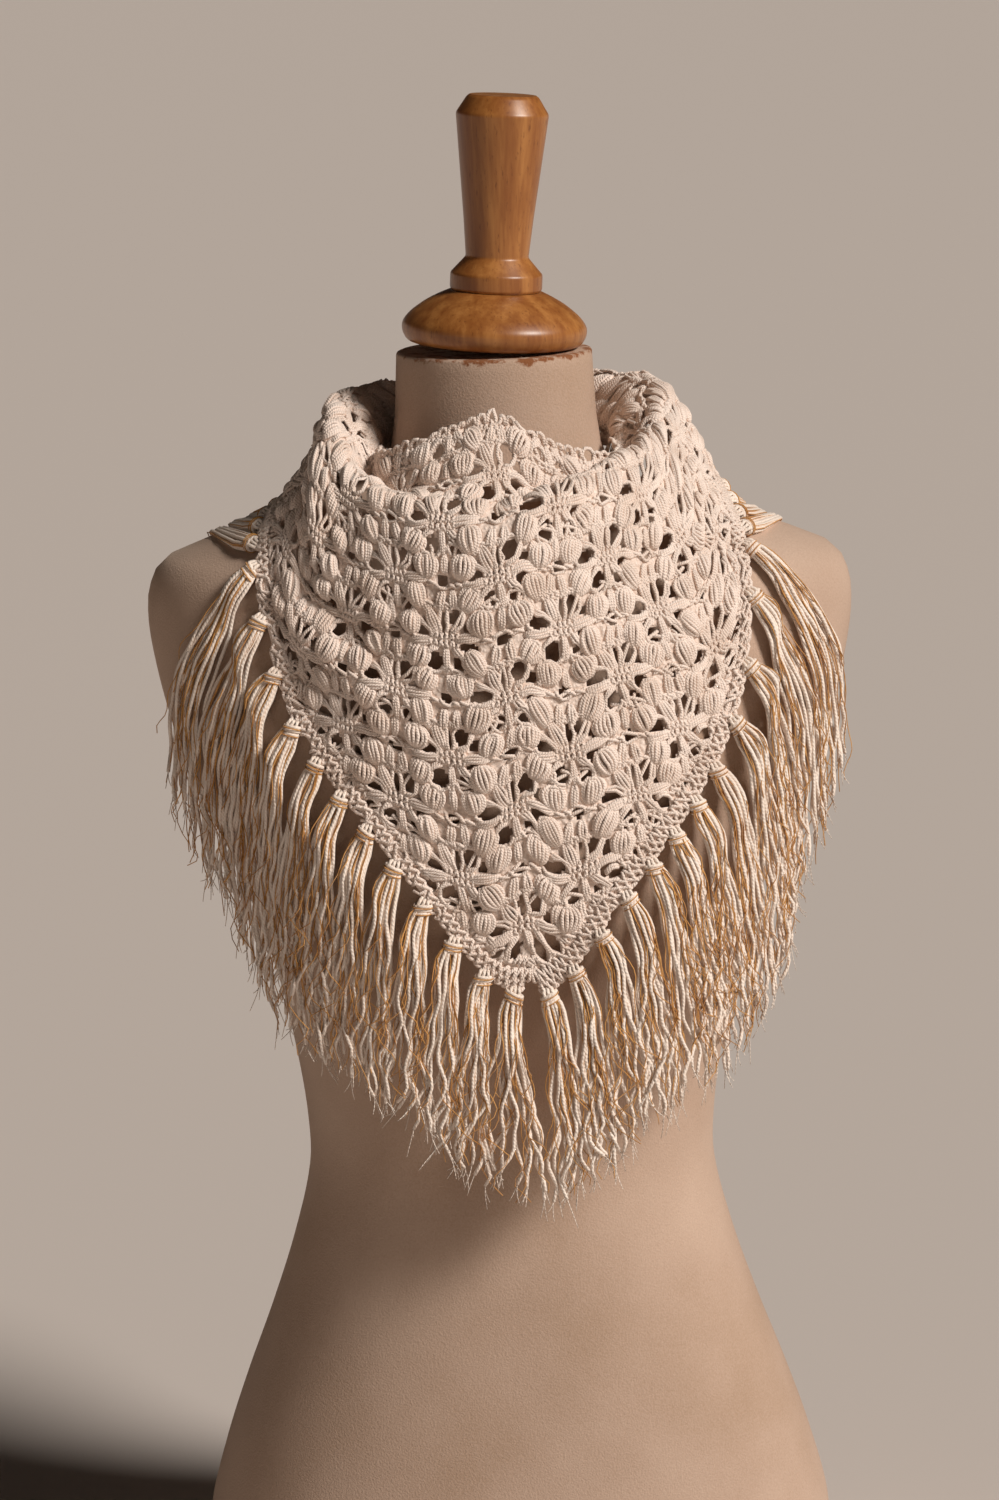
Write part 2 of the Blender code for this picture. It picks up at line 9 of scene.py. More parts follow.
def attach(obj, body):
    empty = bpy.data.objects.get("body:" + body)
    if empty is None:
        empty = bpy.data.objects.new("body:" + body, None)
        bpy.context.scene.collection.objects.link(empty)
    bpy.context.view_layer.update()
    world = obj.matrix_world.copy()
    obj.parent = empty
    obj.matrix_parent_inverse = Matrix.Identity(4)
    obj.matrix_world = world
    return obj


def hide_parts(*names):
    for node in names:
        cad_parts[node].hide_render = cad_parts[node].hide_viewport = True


bl_info = {
    "name": "Fringed crochet bandana",
    "version": (1, 0, 0),
    "blender": (4, 5, 0),
    "location": "3D View > Sidebar > Bandana",
    "description": "Dresses the packed frame as a crochet bandana worn on a dress form",
    "category": "Object",
}

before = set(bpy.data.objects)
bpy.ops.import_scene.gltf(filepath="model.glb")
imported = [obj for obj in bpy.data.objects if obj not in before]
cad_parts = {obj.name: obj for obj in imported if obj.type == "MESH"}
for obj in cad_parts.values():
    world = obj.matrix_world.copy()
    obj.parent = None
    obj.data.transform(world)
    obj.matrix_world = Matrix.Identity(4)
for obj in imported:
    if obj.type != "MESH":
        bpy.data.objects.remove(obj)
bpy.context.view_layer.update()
MM = 0.001
PHOTO_SIZE = (999, 1500)

# The bandana's flat cut and how it is wound round the neck, as the frame has them
CELL = 0.008
CELLS_DEEP = 40
DEPTH = CELL * CELLS_DEEP
# Radii of the winding: at the long edge, and below it at the front and at the sides, which
# it reaches at this depth and this far across
WIND_AT_EDGE = 0.0965
WIND_FRONT = 0.126
WIND_SIDE = 0.150
ROLL_DEPTH = 0.11
SIDE_ACROSS = 0.20
# The angle that the point swings round by, and the least depth of the hem under the long edge
POINT_SWING = 0.095
LEAST_REACH = 0.085
# The cloth's least gap to the form, how the form's slope is measured, and how often and how
# far at least a place is moved out to keep that gap
CLOTH_CLEARANCE = 0.0016
SLOPE_STEP = 0.002
STEEPEST = 4.0
CLEARING_STEPS = 40
CLEARING_LEAST = 0.00001

# The drape, a row for each angle in degrees, with the distance from the axis and the height
# of the long edge, the dip inside the collar, the crest, the middle of the fall and the hem
# angle, edge_r, edge_z, dip_r, dip_z, crest_r, crest_z, fall_r, fall_z, hem_r, hem_z
DRAPE = np.array((
    (-194, 0.0700, 0.7160, 0.0735, 0.7045, 0.0775, 0.6930, 0.0840, 0.6790, 0.0900, 0.6640),
    (-168, 0.0700, 0.7120, 0.0725, 0.7090, 0.0775, 0.7020, 0.0860, 0.6860, 0.0950, 0.6660),
    (-150, 0.0690, 0.7020, 0.0715, 0.7110, 0.0785, 0.7150, 0.0900, 0.6980, 0.1040, 0.6700),
    (-120, 0.0670, 0.6900, 0.0700, 0.7030, 0.0850, 0.7190, 0.0970, 0.6940, 0.1100, 0.6680),
    (-90, 0.0670, 0.6900, 0.0710, 0.7050, 0.0870, 0.7195, 0.0985, 0.6920, 0.1165, 0.6650),
    (-78, 0.0675, 0.6905, 0.0730, 0.6990, 0.0920, 0.7150, 0.1070, 0.6840, 0.1245, 0.6620),
    (-66, 0.0690, 0.6920, 0.0790, 0.6840, 0.0990, 0.7070, 0.1185, 0.6710, 0.1390, 0.6435),
    (-58, 0.0740, 0.6930, 0.0840, 0.6760, 0.1030, 0.6970, 0.1270, 0.6560, 0.1460, 0.6070),
    (-49, 0.0810, 0.6940, 0.0880, 0.6720, 0.1070, 0.6850, 0.1320, 0.6260, 0.1460, 0.5620),
    (-28, 0.0790, 0.7045, 0.0920, 0.6760, 0.1130, 0.6690, 0.1310, 0.5800, 0.1370, 0.4960),
    (-10, 0.0760, 0.7130, 0.0940, 0.6790, 0.1170, 0.6570, 0.1295, 0.5450, 0.1295, 0.4390),
    (0, 0.0750, 0.7160, 0.0940, 0.6760, 0.1190, 0.6530, 0.1295, 0.5340, 0.1285, 0.4190),
    (12, 0.0765, 0.7085, 0.0910, 0.6720, 0.1130, 0.6690, 0.1295, 0.5380, 0.1300, 0.4215),
    (28, 0.0790, 0.6960, 0.0895, 0.6700, 0.1040, 0.6820, 0.1320, 0.5760, 0.1400, 0.4720),
    (49, 0.0830, 0.6915, 0.0890, 0.6760, 0.0990, 0.6920, 0.1330, 0.6190, 0.1500, 0.5370),
    (58, 0.0780, 0.6915, 0.0860, 0.6780, 0.0975, 0.6970, 0.1275, 0.6450, 0.1535, 0.5850),
    (66, 0.0700, 0.6920, 0.0800, 0.6840, 0.0960, 0.7020, 0.1190, 0.6680, 0.1415, 0.6395),
    (78, 0.0680, 0.6920, 0.0740, 0.6960, 0.0940, 0.7120, 0.1110, 0.6840, 0.1265, 0.6625),
    (90, 0.0670, 0.6920, 0.0710, 0.7060, 0.0925, 0.7210, 0.1085, 0.6985, 0.1205, 0.6720),
    (120, 0.0670, 0.6900, 0.0700, 0.7040, 0.0860, 0.7230, 0.1000, 0.6970, 0.1130, 0.6700),
    (150, 0.0690, 0.7020, 0.0720, 0.7110, 0.0800, 0.7160, 0.0930, 0.6990, 0.1060, 0.6710),
    (166, 0.0755, 0.7120, 0.0780, 0.7090, 0.0830, 0.7020, 0.0915, 0.6860, 0.1005, 0.6660),
    (194, 0.0760, 0.7160, 0.0795, 0.7045, 0.0835, 0.6930, 0.0900, 0.6790, 0.0960, 0.6640),
))

# Soft folds over the drape: each end as an angle in degrees and a depth below the long edge,
# then the half width and the height, negative for a trough
# angle_a, depth_a, angle_b, depth_b, half_width, height
FOLDS = (
    (-59, 0.140, -28, 0.168, 0.011, 0.0050),
    (-54, 0.116, -29, 0.149, 0.009, -0.0040),
    (-62, 0.055, -46, 0.120, 0.010, 0.0040),
    (-76, 0.060, -66, 0.105, 0.009, -0.0030),
    (60, 0.090, 40, 0.180, 0.014, 0.0030),
    (52, 0.075, 30, 0.150, 0.011, -0.0025),
    (74, 0.060, 64, 0.120, 0.010, 0.0030),
    (18, 0.030, 34, 0.050, 0.010, -0.0030),
    (-24, 0.030, -40, 0.050, 0.009, -0.0025),
    (-100, 0.030, -96, 0.075, 0.009, 0.0030),
    (112, 0.030, 108, 0.070, 0.009, 0.0030),
    (-128, 0.025, -124, 0.050, 0.008, 0.0025),
    (134, 0.025, 130, 0.050, 0.008, 0.0025),
)

# The dress form's sections
# height, half_width, front, back, squareness
FORM = np.array((
    (0.000, 0.181, 0.112, 0.124, 2.3),
    (0.012, 0.184, 0.114, 0.127, 2.3),
    (0.060, 0.183, 0.113, 0.127, 2.3),
    (0.100, 0.173, 0.110, 0.123, 2.3),
    (0.140, 0.1595, 0.106, 0.116, 2.3),
    (0.184, 0.143, 0.101, 0.104, 2.25),
    (0.227, 0.1287, 0.097, 0.093, 2.2),
    (0.272, 0.1180, 0.093, 0.084, 2.2),
    (0.305, 0.1184, 0.095, 0.085, 2.2),
    (0.345, 0.1240, 0.101, 0.089, 2.2),
    (0.385, 0.1320, 0.111, 0.093, 2.2),
    (0.425, 0.1440, 0.123, 0.097, 2.2),
    (0.460, 0.1570, 0.1275, 0.101, 2.2),
    (0.500, 0.1760, 0.1240, 0.105, 2.2),
    (0.540, 0.1890, 0.1170, 0.108, 2.2),
    (0.575, 0.1970, 0.1080, 0.106, 2.1),
    (0.600, 0.2000, 0.1000, 0.102, 2.0),
    (0.618, 0.1975, 0.0930, 0.097, 2.0),
    (0.632, 0.1870, 0.0860, 0.092, 2.0),
    (0.645, 0.1520, 0.0790, 0.086, 2.0),
    (0.657, 0.1160, 0.0730, 0.079, 2.0),
    (0.668, 0.0850, 0.0670, 0.072, 2.0),
    (0.680, 0.0650, 0.0600, 0.064, 2.0),
    (0.700, 0.0580, 0.0550, 0.057, 2.0),
    (0.725, 0.0560, 0.0530, 0.054, 2.0),
    (0.745, 0.0550, 0.0520, 0.053, 2.0),
))
NECK_TOP = 0.745

# The turned wood, a row for each step up a profile: distance from its axis, then height
WOOD_TILT = math.radians(3.4)
WOOD_SEAT = 0.0030
CAP_HEIGHT = 0.0300
FACE_GAP = 0.0003
WOOD_SIDES = 96
# radius, height, how far the corner there is rounded
CAP_PROFILE = (
    (0.0440, 0.0000, 0.0), (0.0492, 0.0012, 0.004), (0.0520, 0.0064, 0.004),
    (0.0521, 0.0112, 0.004), (0.0482, 0.0166, 0.006), (0.0392, 0.0236, 0.006),
    (0.0312, 0.0278, 0.004), (0.0262, 0.0300, 0.0),
)
HANDLE_PROFILE = (
    (0.0250, 0.0000, 0.0), (0.0259, 0.0012, 0.0010), (0.0259, 0.0094, 0.0012),
    (0.0176, 0.0187, 0.0012), (0.0196, 0.0400, 0.0), (0.0218, 0.0600, 0.0), (0.0240, 0.0800, 0.0),
    (0.0260, 0.0982, 0.0014), (0.0202, 0.1074, 0.0014), (0.0186, 0.1085, 0.0),
)

# Edging and tassels, as the frame has them
EDGING_WIDTH = 0.0075
EDGING_GAP = 0.0010
TASSELS_A_SIDE = 20
FIRST_TASSEL = 0.003
TASSEL_PITCH = 0.0211
STRAND_CLEARANCE = 0.0030
FRONT_LENGTH = 0.110
SIDE_LENGTH = 0.158
LONG_FROM = 10
# Tassels nearer the front than this many degrees hang on the chest, and the rest at the back
PARTING = 70
# A strand takes most of its swing in this length of its fall
CHEST_SWING_LENGTH = 0.080
BACK_SWING_LENGTH = 0.018
# How far the strands swing outwards, in degrees, by the knot's angle round the neck
CHEST_SWING = np.array(((0, 2.5), (30, 5.5), (50, 7.5), (62, 8.5), (74, 10.0)))
BACK_SWING = np.array(((70, 40.0), (90, 31.0), (120, 16.0), (150, 5.0), (180, 0.0)))
# A fall sets out at the first lean, comes down to straight by steps, and climbs over the form
# by steps where that bars it
FIRST_LEAN = math.radians(50)
LEAN_STEP = math.radians(8)
STEEPEST_CLIMB = math.radians(120)
CLIMB_STEP = math.radians(3)
MARCH_STEP = 0.004
# How far below its knot a tassel hangs in its own fall, clear of the knot's direction
FREE_FROM = 0.028

# The stitch repeat in millimetres: flowers lie 64 apart along a row and rows 32 apart, each
# row set over by half. Places are across and up from a flower's centre.
FLOWER_CELLS = 8
ROW_CELLS = 4
# Flowers whose centre lies this far past the cut still reach into it
CELLS_PAST_CUT = 5
# Plies that are twisted into the yarn
PLIES = 2
# Open gaps between the stitches of a flower, tilted by an angle in degrees
# across, up, half_width, half_height, tilt
HOLES = (
    (0.0, 10.6, 1.7, 4.8, 0.0),
    (7.0, 12.2, 3.8, 4.8, -14.0),
    (-13.6, 3.4, 5.3, 2.8, 10.0),
    (14.4, -5.4, 5.4, 3.3, -36.0),
    (-6.2, -12.0, 3.8, 4.9, -18.0),
    (7.8, -13.2, 3.1, 4.0, 12.0),
    (14.0, 7.8, 2.9, 2.6, 0.0),
    (-16.0, -8.6, 3.5, 2.5, 35.0),
    (0.0, 32.0, 3.0, 2.8, 0.0),
)
# Raised puffs of looped yarn
# across, up, tilt, width, length, height
PUFFS = (
    (14.6, 22.0, -20.0, 14.0, 14.5, 3.5),
    (-15.0, 22.3, 22.0, 13.5, 14.5, 3.5),
    (10.2, -23.3, 5.0, 14.5, 13.5, 3.5),
    (-10.4, -23.4, -6.0, 14.5, 13.5, 3.5),
)
# Petals and slim legs that lead out from a flower's centre, each of side by side strands
# from_across, from_up, to_across, to_up, strands, width, height
PETALS = (
    (1.3, 3.6, 2.6, 16.6, 2, 2.4, 1.3),
    (-1.3, 3.6, -2.4, 16.6, 2, 2.4, 1.3),
    (3.6, 2.6, 11.6, 16.0, 3, 5.4, 1.5),
    (4.8, 0.4, 21.5, 2.4, 4, 6.6, 1.7),
    (4.2, -2.4, 13.4, -14.2, 3, 5.4, 1.4),
    (0.6, -3.4, 1.8, -17.0, 3, 3.8, 1.3),
    (-4.2, -2.4, -12.6, -14.6, 3, 5.4, 1.4),
    (-5.0, -0.6, -21.0, -3.4, 4, 6.2, 1.7),
    (-4.4, 2.0, -16.4, 9.6, 3, 5.2, 1.5),
    (-3.2, 3.4, -9.0, 17.0, 4, 7.4, 2.0),
    (16.0, 4.6, 20.0, 14.5, 3, 5.0, 1.2),
    (17.5, -9.5, 20.5, -16.0, 3, 5.0, 1.0),
    (-17.5, 10.5, -20.5, 16.5, 3, 5.0, 1.0),
    (-17.0, -5.5, -19.0, -16.0, 3, 5.0, 1.2),
    (29.0, -3.5, 27.5, -15.5, 3, 5.6, 1.2),
    (35.0, -3.5, 36.5, -15.5, 3, 5.6, 1.2),
    (32.0, 4.0, 32.0, 15.5, 3, 4.6, 1.2),
    (45.0, 2.5, 49.0, -2.5, 2, 3.4, 1.0),
)
# V stitches follow each other at this distance
V_SPACING = 3.3
# Rows of V stitches
# up, from_across, to_across, lift
V_ROWS = (
    (2.0, -7.5, 7.5, 1.9),
    (-2.0, -8.0, 8.0, 1.9),
    (17.6, -32.0, 32.0, 1.5),
)
# Pairs of strands laid along a row
# up, from_across, to_across
CHAIN_ROWS = (
    (18.9, -32.0, 32.0),
    (-0.2, 21.0, 43.0),
)
# Strands are parted round each gap and this much more
HOLE_MARGIN = 1.15
# Gaps differ in size between these shares of the chart's
HOLE_SIZES = (0.92, 1.24)
# A chain's strands cross once in this many millimetres
CHAIN_LINK = 5.0
# The ground's faces are this wide
GROUND_STEP = 2.0


def smooth_step(x):
    """0 below 0, 1 above 1 and a soft rise between."""
    x = min(max(x, 0.0), 1.0)
    return x * x * (3.0 - 2.0 * x)


def smooth_row(table, x):
    """A row of the table at x, on a smooth curve through its rows."""
    keys = table[:, 0]
    x = min(max(x, keys[0]), keys[-1])
    i = min(max(int(np.searchsorted(keys, x)) - 1, 0), len(keys) - 2)
    before, after = max(i - 1, 0), min(i + 2, len(keys) - 1)
    span = keys[i + 1] - keys[i]
    slope_a = (table[i + 1] - table[before]) / (keys[i + 1] - keys[before])
    slope_b = (table[after] - table[i]) / (keys[after] - keys[i])
    t = (x - keys[i]) / span
    return (
        (2 * t**3 - 3 * t**2 + 1) * table[i]
        + (t**3 - 2 * t**2 + t) * span * slope_a
        + (3 * t**2 - 2 * t**3) * table[i + 1]
        + (t**3 - t**2) * span * slope_b
    )


# The form's sections worked out once, at heights 1.25 mm apart
FORM_HEIGHTS = np.linspace(0.0, NECK_TOP, 597)
FORM_CURVE = np.array([smooth_row(FORM, z) for z in FORM_HEIGHTS])


def form_section(height):
    """The form's half width, front, back and squareness at a height."""
    x = height / NECK_TOP * (len(FORM_CURVE) - 1)
    i = min(max(int(x), 0), len(FORM_CURVE) - 2)
    t = min(max(x - i, 0.0), 1.0)
    return (FORM_CURVE[i] * (1 - t) + FORM_CURVE[i + 1] * t)[1:]


def form_radius(angle, height):
    """How far the form's surface lies from the axis at an angle and a height."""
    if height > NECK_TOP:
        return 0.0
    half_width, front, back, power = form_section(height)
    across = abs(math.sin(angle)) / half_width
    along = abs(math.cos(angle)) / (front if math.cos(angle) > 0 else back)
    return (across**power + along**power) ** (-1.0 / power)


def form_slope(angle, height):
    """How fast the form's surface draws out or in with the height."""
    above = form_radius(angle, height + SLOPE_STEP)
    below = form_radius(angle, height - SLOPE_STEP)
    return min(max((above - below) / (2 * SLOPE_STEP), -STEEPEST), STEEPEST)


def form_gap(angle, radius, height):
    """How far a point stands off the form, square to its surface."""
    slope = form_slope(angle, height)
    return (radius - form_radius(angle, height)) / math.sqrt(1.0 + slope * slope)


def clear_of_form(angle, radius, height, clearance):
    """The radius and height moved out square to the form until they clear it."""
    for _ in range(CLEARING_STEPS):
        short = clearance - form_gap(angle, radius, height)
        if short <= 0:
            break
        slope = form_slope(angle, height)
        size = math.sqrt(1.0 + slope * slope)
        radius += short / size + CLEARING_LEAST
        height -= short * slope / size
    return radius, height


def place(angle, radius, height):
    """The point at an angle from the front, a distance from the axis and a height."""
    return Vector((radius * math.sin(angle), -radius * math.cos(angle), height))


def winding(across, depth):
    """The radius that a place of the flat cloth is wound at."""
    below = WIND_FRONT + (WIND_SIDE - WIND_FRONT) * smooth_step(abs(across) / SIDE_ACROSS)
    return WIND_AT_EDGE + (below - WIND_AT_EDGE) * smooth_step(depth / ROLL_DEPTH)


def angle_of(across, depth):
    """The angle round the neck of a point of the flat cloth."""
    return across / winding(across, depth) + POINT_SWING * (max(depth, 0.0) / DEPTH) ** 2


def reach_at(angle):
    """How far below the long edge the hem lies at an angle round the neck."""
    low, high = 0.0, DEPTH
    side = 1.0 if angle > POINT_SWING else -1.0
    for _ in range(30):
        middle = (low + high) / 2
        if side * (angle - angle_of(side * (DEPTH - middle), middle)) < 0:
            low = middle
        else:
            high = middle
    return max((low + high) / 2, LEAST_REACH)


def through(points, count):
    """Points on a smooth curve through the given ones, an equal number on each span."""
    table = np.array([(i, *p) for i, p in enumerate(points)], float)
    return [smooth_row(table, i / count)[1:] for i in range((len(points) - 1) * count + 1)]


class Profile:
    """The line that the cloth follows from its long edge to its hem at one angle."""

    kept = {}

    def __init__(self, angle):
        row = smooth_row(DRAPE, math.degrees(angle))[1:].reshape(5, 2)
        line = np.array(through(row, 8))
        steps = np.hypot(*np.diff(line, axis=0).T)
        self.run = np.concatenate([[0.0], np.cumsum(steps)])
        self.line = line
        self.reach = reach_at(angle)
        self.end = (line[-1] - line[-2]) / steps[-1]

    @classmethod
    def near(cls, angle):
        """The profile at the nearest quarter of a degree."""
        key = round(math.degrees(angle) * 4)
        if key not in cls.kept:
            cls.kept[key] = cls(math.radians(key / 4))
        return cls.kept[key]

    def at(self, depth):
        """The radius and height of the cloth this far below its long edge."""
        if depth > self.reach:
            return self.line[-1] + self.end * (depth - self.reach)
        along = max(depth, 0.0) / self.reach * self.run[-1]
        return np.array([np.interp(along, self.run, self.line[:, k]) for k in (0, 1)])


def fold_height(angle, depth):
    """How far the soft folds lift the cloth at a place."""
    lift = 0.0
    x, y = angle * WIND_FRONT, depth
    for angle_a, depth_a, angle_b, depth_b, half_width, height in FOLDS:
        ax, bx = math.radians(angle_a) * WIND_FRONT, math.radians(angle_b) * WIND_FRONT
        run_x, run_y = bx - ax, depth_b - depth_a
        t = ((x - ax) * run_x + (y - depth_a) * run_y) / (run_x**2 + run_y**2)
        t = min(max(t, 0.0), 1.0)
        away = math.hypot(x - ax - t * run_x, y - depth_a - t * run_y)
        taper = 0.35 + 0.65 * math.sin(math.pi * t)
        lift += height * taper * math.exp(-((away / half_width) ** 2))
    return lift


def cloth_point(across, depth):
    """The place in the drape of a point of the flat cloth."""
    angle = angle_of(across, depth)
    profile = Profile.near(angle)
    radius, height = profile.at(depth)
    along = profile.at(depth + SLOPE_STEP) - profile.at(max(depth - SLOPE_STEP, 0.0))
    along = along / max(float(np.linalg.norm(along)), 1e-9)
    lift = fold_height(angle, depth)
    radius, height = clear_of_form(
        angle, radius - lift * along[1], height + lift * along[0], CLOTH_CLEARANCE
    )
    return place(angle, radius, height)


class Drape:
    """The draped cloth as a grid of points and normals, read anywhere between them."""

    # All in millimetres: the grid's step, and where it starts and ends past the cut
    STEP = 6.0
    LEFT, TOP, BOTTOM = -348.0, -6.0, 348.0

    def __init__(self):
        columns = int(round(-2 * self.LEFT / self.STEP)) + 1
        rows = int(round((self.BOTTOM - self.TOP) / self.STEP)) + 1
        self.points = np.array([
            [
                cloth_point(
                    (self.LEFT + i * self.STEP) * MM, max(self.TOP + j * self.STEP, 0.0) * MM
                )
                for j in range(rows)
            ]
            for i in range(columns)
        ])
        # The cloth goes on straight past its long edge, for the loops that stand on it
        self.points[:, 0] = 2 * self.points[:, 1] - self.points[:, 2]
        across = np.gradient(self.points, axis=0)
        down = np.gradient(self.points, axis=1)
        down[:, 0] = down[:, 2]
        down[:, 1] = down[:, 2]
        normals = np.cross(down, across)
        length = np.linalg.norm(normals, axis=2, keepdims=True)
        self.normals = normals / np.maximum(length, 1e-12)

    def lay(self, flat):
        """Flat places, as across, depth and height in millimetres, laid on the drape."""
        flat = np.atleast_2d(flat)
        x = np.clip((flat[:, 0] - self.LEFT) / self.STEP, 0, self.points.shape[0] - 1.001)
        y = np.clip((flat[:, 1] - self.TOP) / self.STEP, 0, self.points.shape[1] - 1.001)
        i, j = x.astype(int), y.astype(int)
        s, t = (x - i)[:, None], (y - j)[:, None]

        def mixed(grid):
            top = grid[i, j] * (1 - s) + grid[i + 1, j] * s
            low = grid[i, j + 1] * (1 - s) + grid[i + 1, j + 1] * s
            return top * (1 - t) + low * t

        normal = mixed(self.normals)
        normal /= np.linalg.norm(normal, axis=1, keepdims=True)
        return mixed(self.points) + normal * flat[:, 2:3] * MM


def hem_flat(side, along, out):
    """A flat place measured along a short side from the point and out past it, in mm."""
    step = 1.0 / math.sqrt(2.0)
    return side * (along + out) * step, DEPTH / MM - along * step + out * step


def curved(points, count):
    """Points spaced evenly by number on a smooth curve through the given ones."""
    points = np.asarray(points, float)
    table = np.column_stack([np.arange(len(points)), points])
    return np.array([smooth_row(table, x)[1:] for x in np.linspace(0, len(points) - 1, count)])


class Yarn:
    """Gathers lengths of yarn as closed tubes, and makes one mesh of them."""

    def __init__(self):
        self.points, self.quads, self.caps = [], [], []
        self.quad_uvs, self.cap_uvs = [], []
        self.count = 0

    def add(self, line, radius, sides=4, taper=1.0):
        """One length of yarn along a line of places, in metres."""
        line = np.asarray(line, float)
        n = len(line)
        along = np.gradient(line, axis=0)
        along /= np.maximum(np.linalg.norm(along, axis=1, keepdims=True), 1e-12)
        across = np.cross(along[0], (0.0, 0.0, 1.0))
        if np.linalg.norm(across) < 0.2:
            across = np.cross(along[0], (0.0, 1.0, 0.0))
        frames = np.empty((n, 3))
        for k in range(n):
            across = across - along[k] * float(across @ along[k])
            across = across / max(float(np.linalg.norm(across)), 1e-12)
            frames[k] = across
        beside = np.cross(along, frames)
        turn = np.arange(sides) * 2 * math.pi / sides
        size = np.full(n, radius) * np.linspace(1.0, taper, n)
        ring = (
            frames[:, None] * np.cos(turn)[None, :, None]
            + beside[:, None] * np.sin(turn)[None, :, None]
        )
        made = line[:, None] + ring * size[:, None, None]
        ends = np.array([line[0] - along[0] * size[0] * 0.6, line[-1] + along[-1] * size[-1] * 0.6])
        first = self.count
        self.points.append(made.reshape(-1, 3))
        self.points.append(ends)
        self.count += n * sides + 2
        run = np.concatenate([[0.0], np.cumsum(np.linalg.norm(np.diff(line, axis=0), axis=1))])
        k, s = np.meshgrid(np.arange(n - 1), np.arange(sides), indexing="ij")
        k, s = k.ravel(), s.ravel()
        after = (s + 1) % sides
        self.quads.append(np.column_stack([
            first + k * sides + s,
            first + k * sides + after,
            first + (k + 1) * sides + after,
            first + (k + 1) * sides + s,
        ]))
        low, high = s / sides, (s + 1) / sides
        a, b = run[k] / MM, run[k + 1] / MM
        self.quad_uvs.append(np.stack([
            np.column_stack([a, low]),
            np.column_stack([a, high]),
            np.column_stack([b, high]),
            np.column_stack([b, low]),
        ], axis=1))
        s = np.arange(sides)
        after = (s + 1) % sides
        last = first + (n - 1) * sides
        start, finish = first + n * sides, first + n * sides + 1
        self.caps.append(np.column_stack([first + after, first + s, np.full(sides, start)]))
        self.caps.append(np.column_stack([last + s, last + after, np.full(sides, finish)]))
        flat = np.stack([
            np.column_stack([np.zeros(sides), s / sides]),
            np.column_stack([np.zeros(sides), (s + 1) / sides]),
            np.column_stack([np.zeros(sides), (s + 0.5) / sides]),
        ], axis=1)
        self.cap_uvs.append(flat)
        self.cap_uvs.append(flat + np.array([run[-1] / MM, 0.0]))

    def mesh(self, name):
        """One mesh of all the yarn, with a UV map that runs along and round each length."""
        points = np.concatenate(self.points)
        quads, caps = np.concatenate(self.quads), np.concatenate(self.caps)
        mesh = bpy.data.meshes.new(name)
        mesh.vertices.add(len(points))
        mesh.vertices.foreach_set("co", points.ravel())
        corners = np.concatenate([quads.ravel(), caps.ravel()])
        mesh.loops.add(len(corners))
        mesh.loops.foreach_set("vertex_index", corners.astype(np.int32))
        starts = np.concatenate([
            np.arange(len(quads)) * 4, len(quads) * 4 + np.arange(len(caps)) * 3
        ])
        mesh.polygons.add(len(starts))
        mesh.polygons.foreach_set("loop_start", starts.astype(np.int32))
        mesh.update(calc_edges=True)
        uvs = np.concatenate([
            np.concatenate(self.quad_uvs).reshape(-1, 2),
            np.concatenate(self.cap_uvs).reshape(-1, 2),
        ])
        layer = mesh.uv_layers.new(name="yarn")
        layer.uv.foreach_set("vector", uvs.ravel().astype(np.float32))
        mesh.validate()
        mesh.shade_smooth()
        return mesh


def linear(colour):
    """An sRGB hex colour as linear red, green, blue and alpha."""
    parts = [int(colour.lstrip("#")[i : i + 2], 16) / 255 for i in (0, 2, 4)]
    return (*[p / 12.92 if p <= 0.04045 else ((p + 0.055) / 1.055) ** 2.4 for p in parts], 1.0)


def add_node(tree, kind, links=None, **settings):
    """Adds a node with its settings and its inputs' values or links, and returns it."""
    node = tree.nodes.new(kind)
    for name, value in settings.items():
        setattr(node, name, value)
    for name, value in (links or {}).items():
        if isinstance(value, bpy.types.NodeSocket):
            tree.links.new(value, node.inputs[name])
        else:
            node.inputs[name].default_value = value
    return node


def set_stops(ramp, stops):
    """Gives a colour ramp its stops as position and sRGB hex colour."""
    elements = ramp.color_ramp.elements
    while len(elements) > len(stops):
        elements.remove(elements[-1])
    while len(elements) < len(stops):
        elements.new(0.5)
    for element, (position, colour) in zip(elements, stops):
        element.position = position
        element.color = linear(colour)


def new_material(name, colour, roughness):
    """A material with its Principled shader, and that shader's tree."""
    material = bpy.data.materials.new(name)
    material.use_nodes = True
    shader = material.node_tree.nodes["Principled BSDF"]
    shader.inputs["Base Color"].default_value = linear(colour)
    shader.inputs["Roughness"].default_value = roughness
    material.diffuse_color = linear(colour)
    return material, material.node_tree, shader


def cells(size):
    """The scale of a noise whose cells are this many millimetres across."""
    return 1.0 / (size * MM)


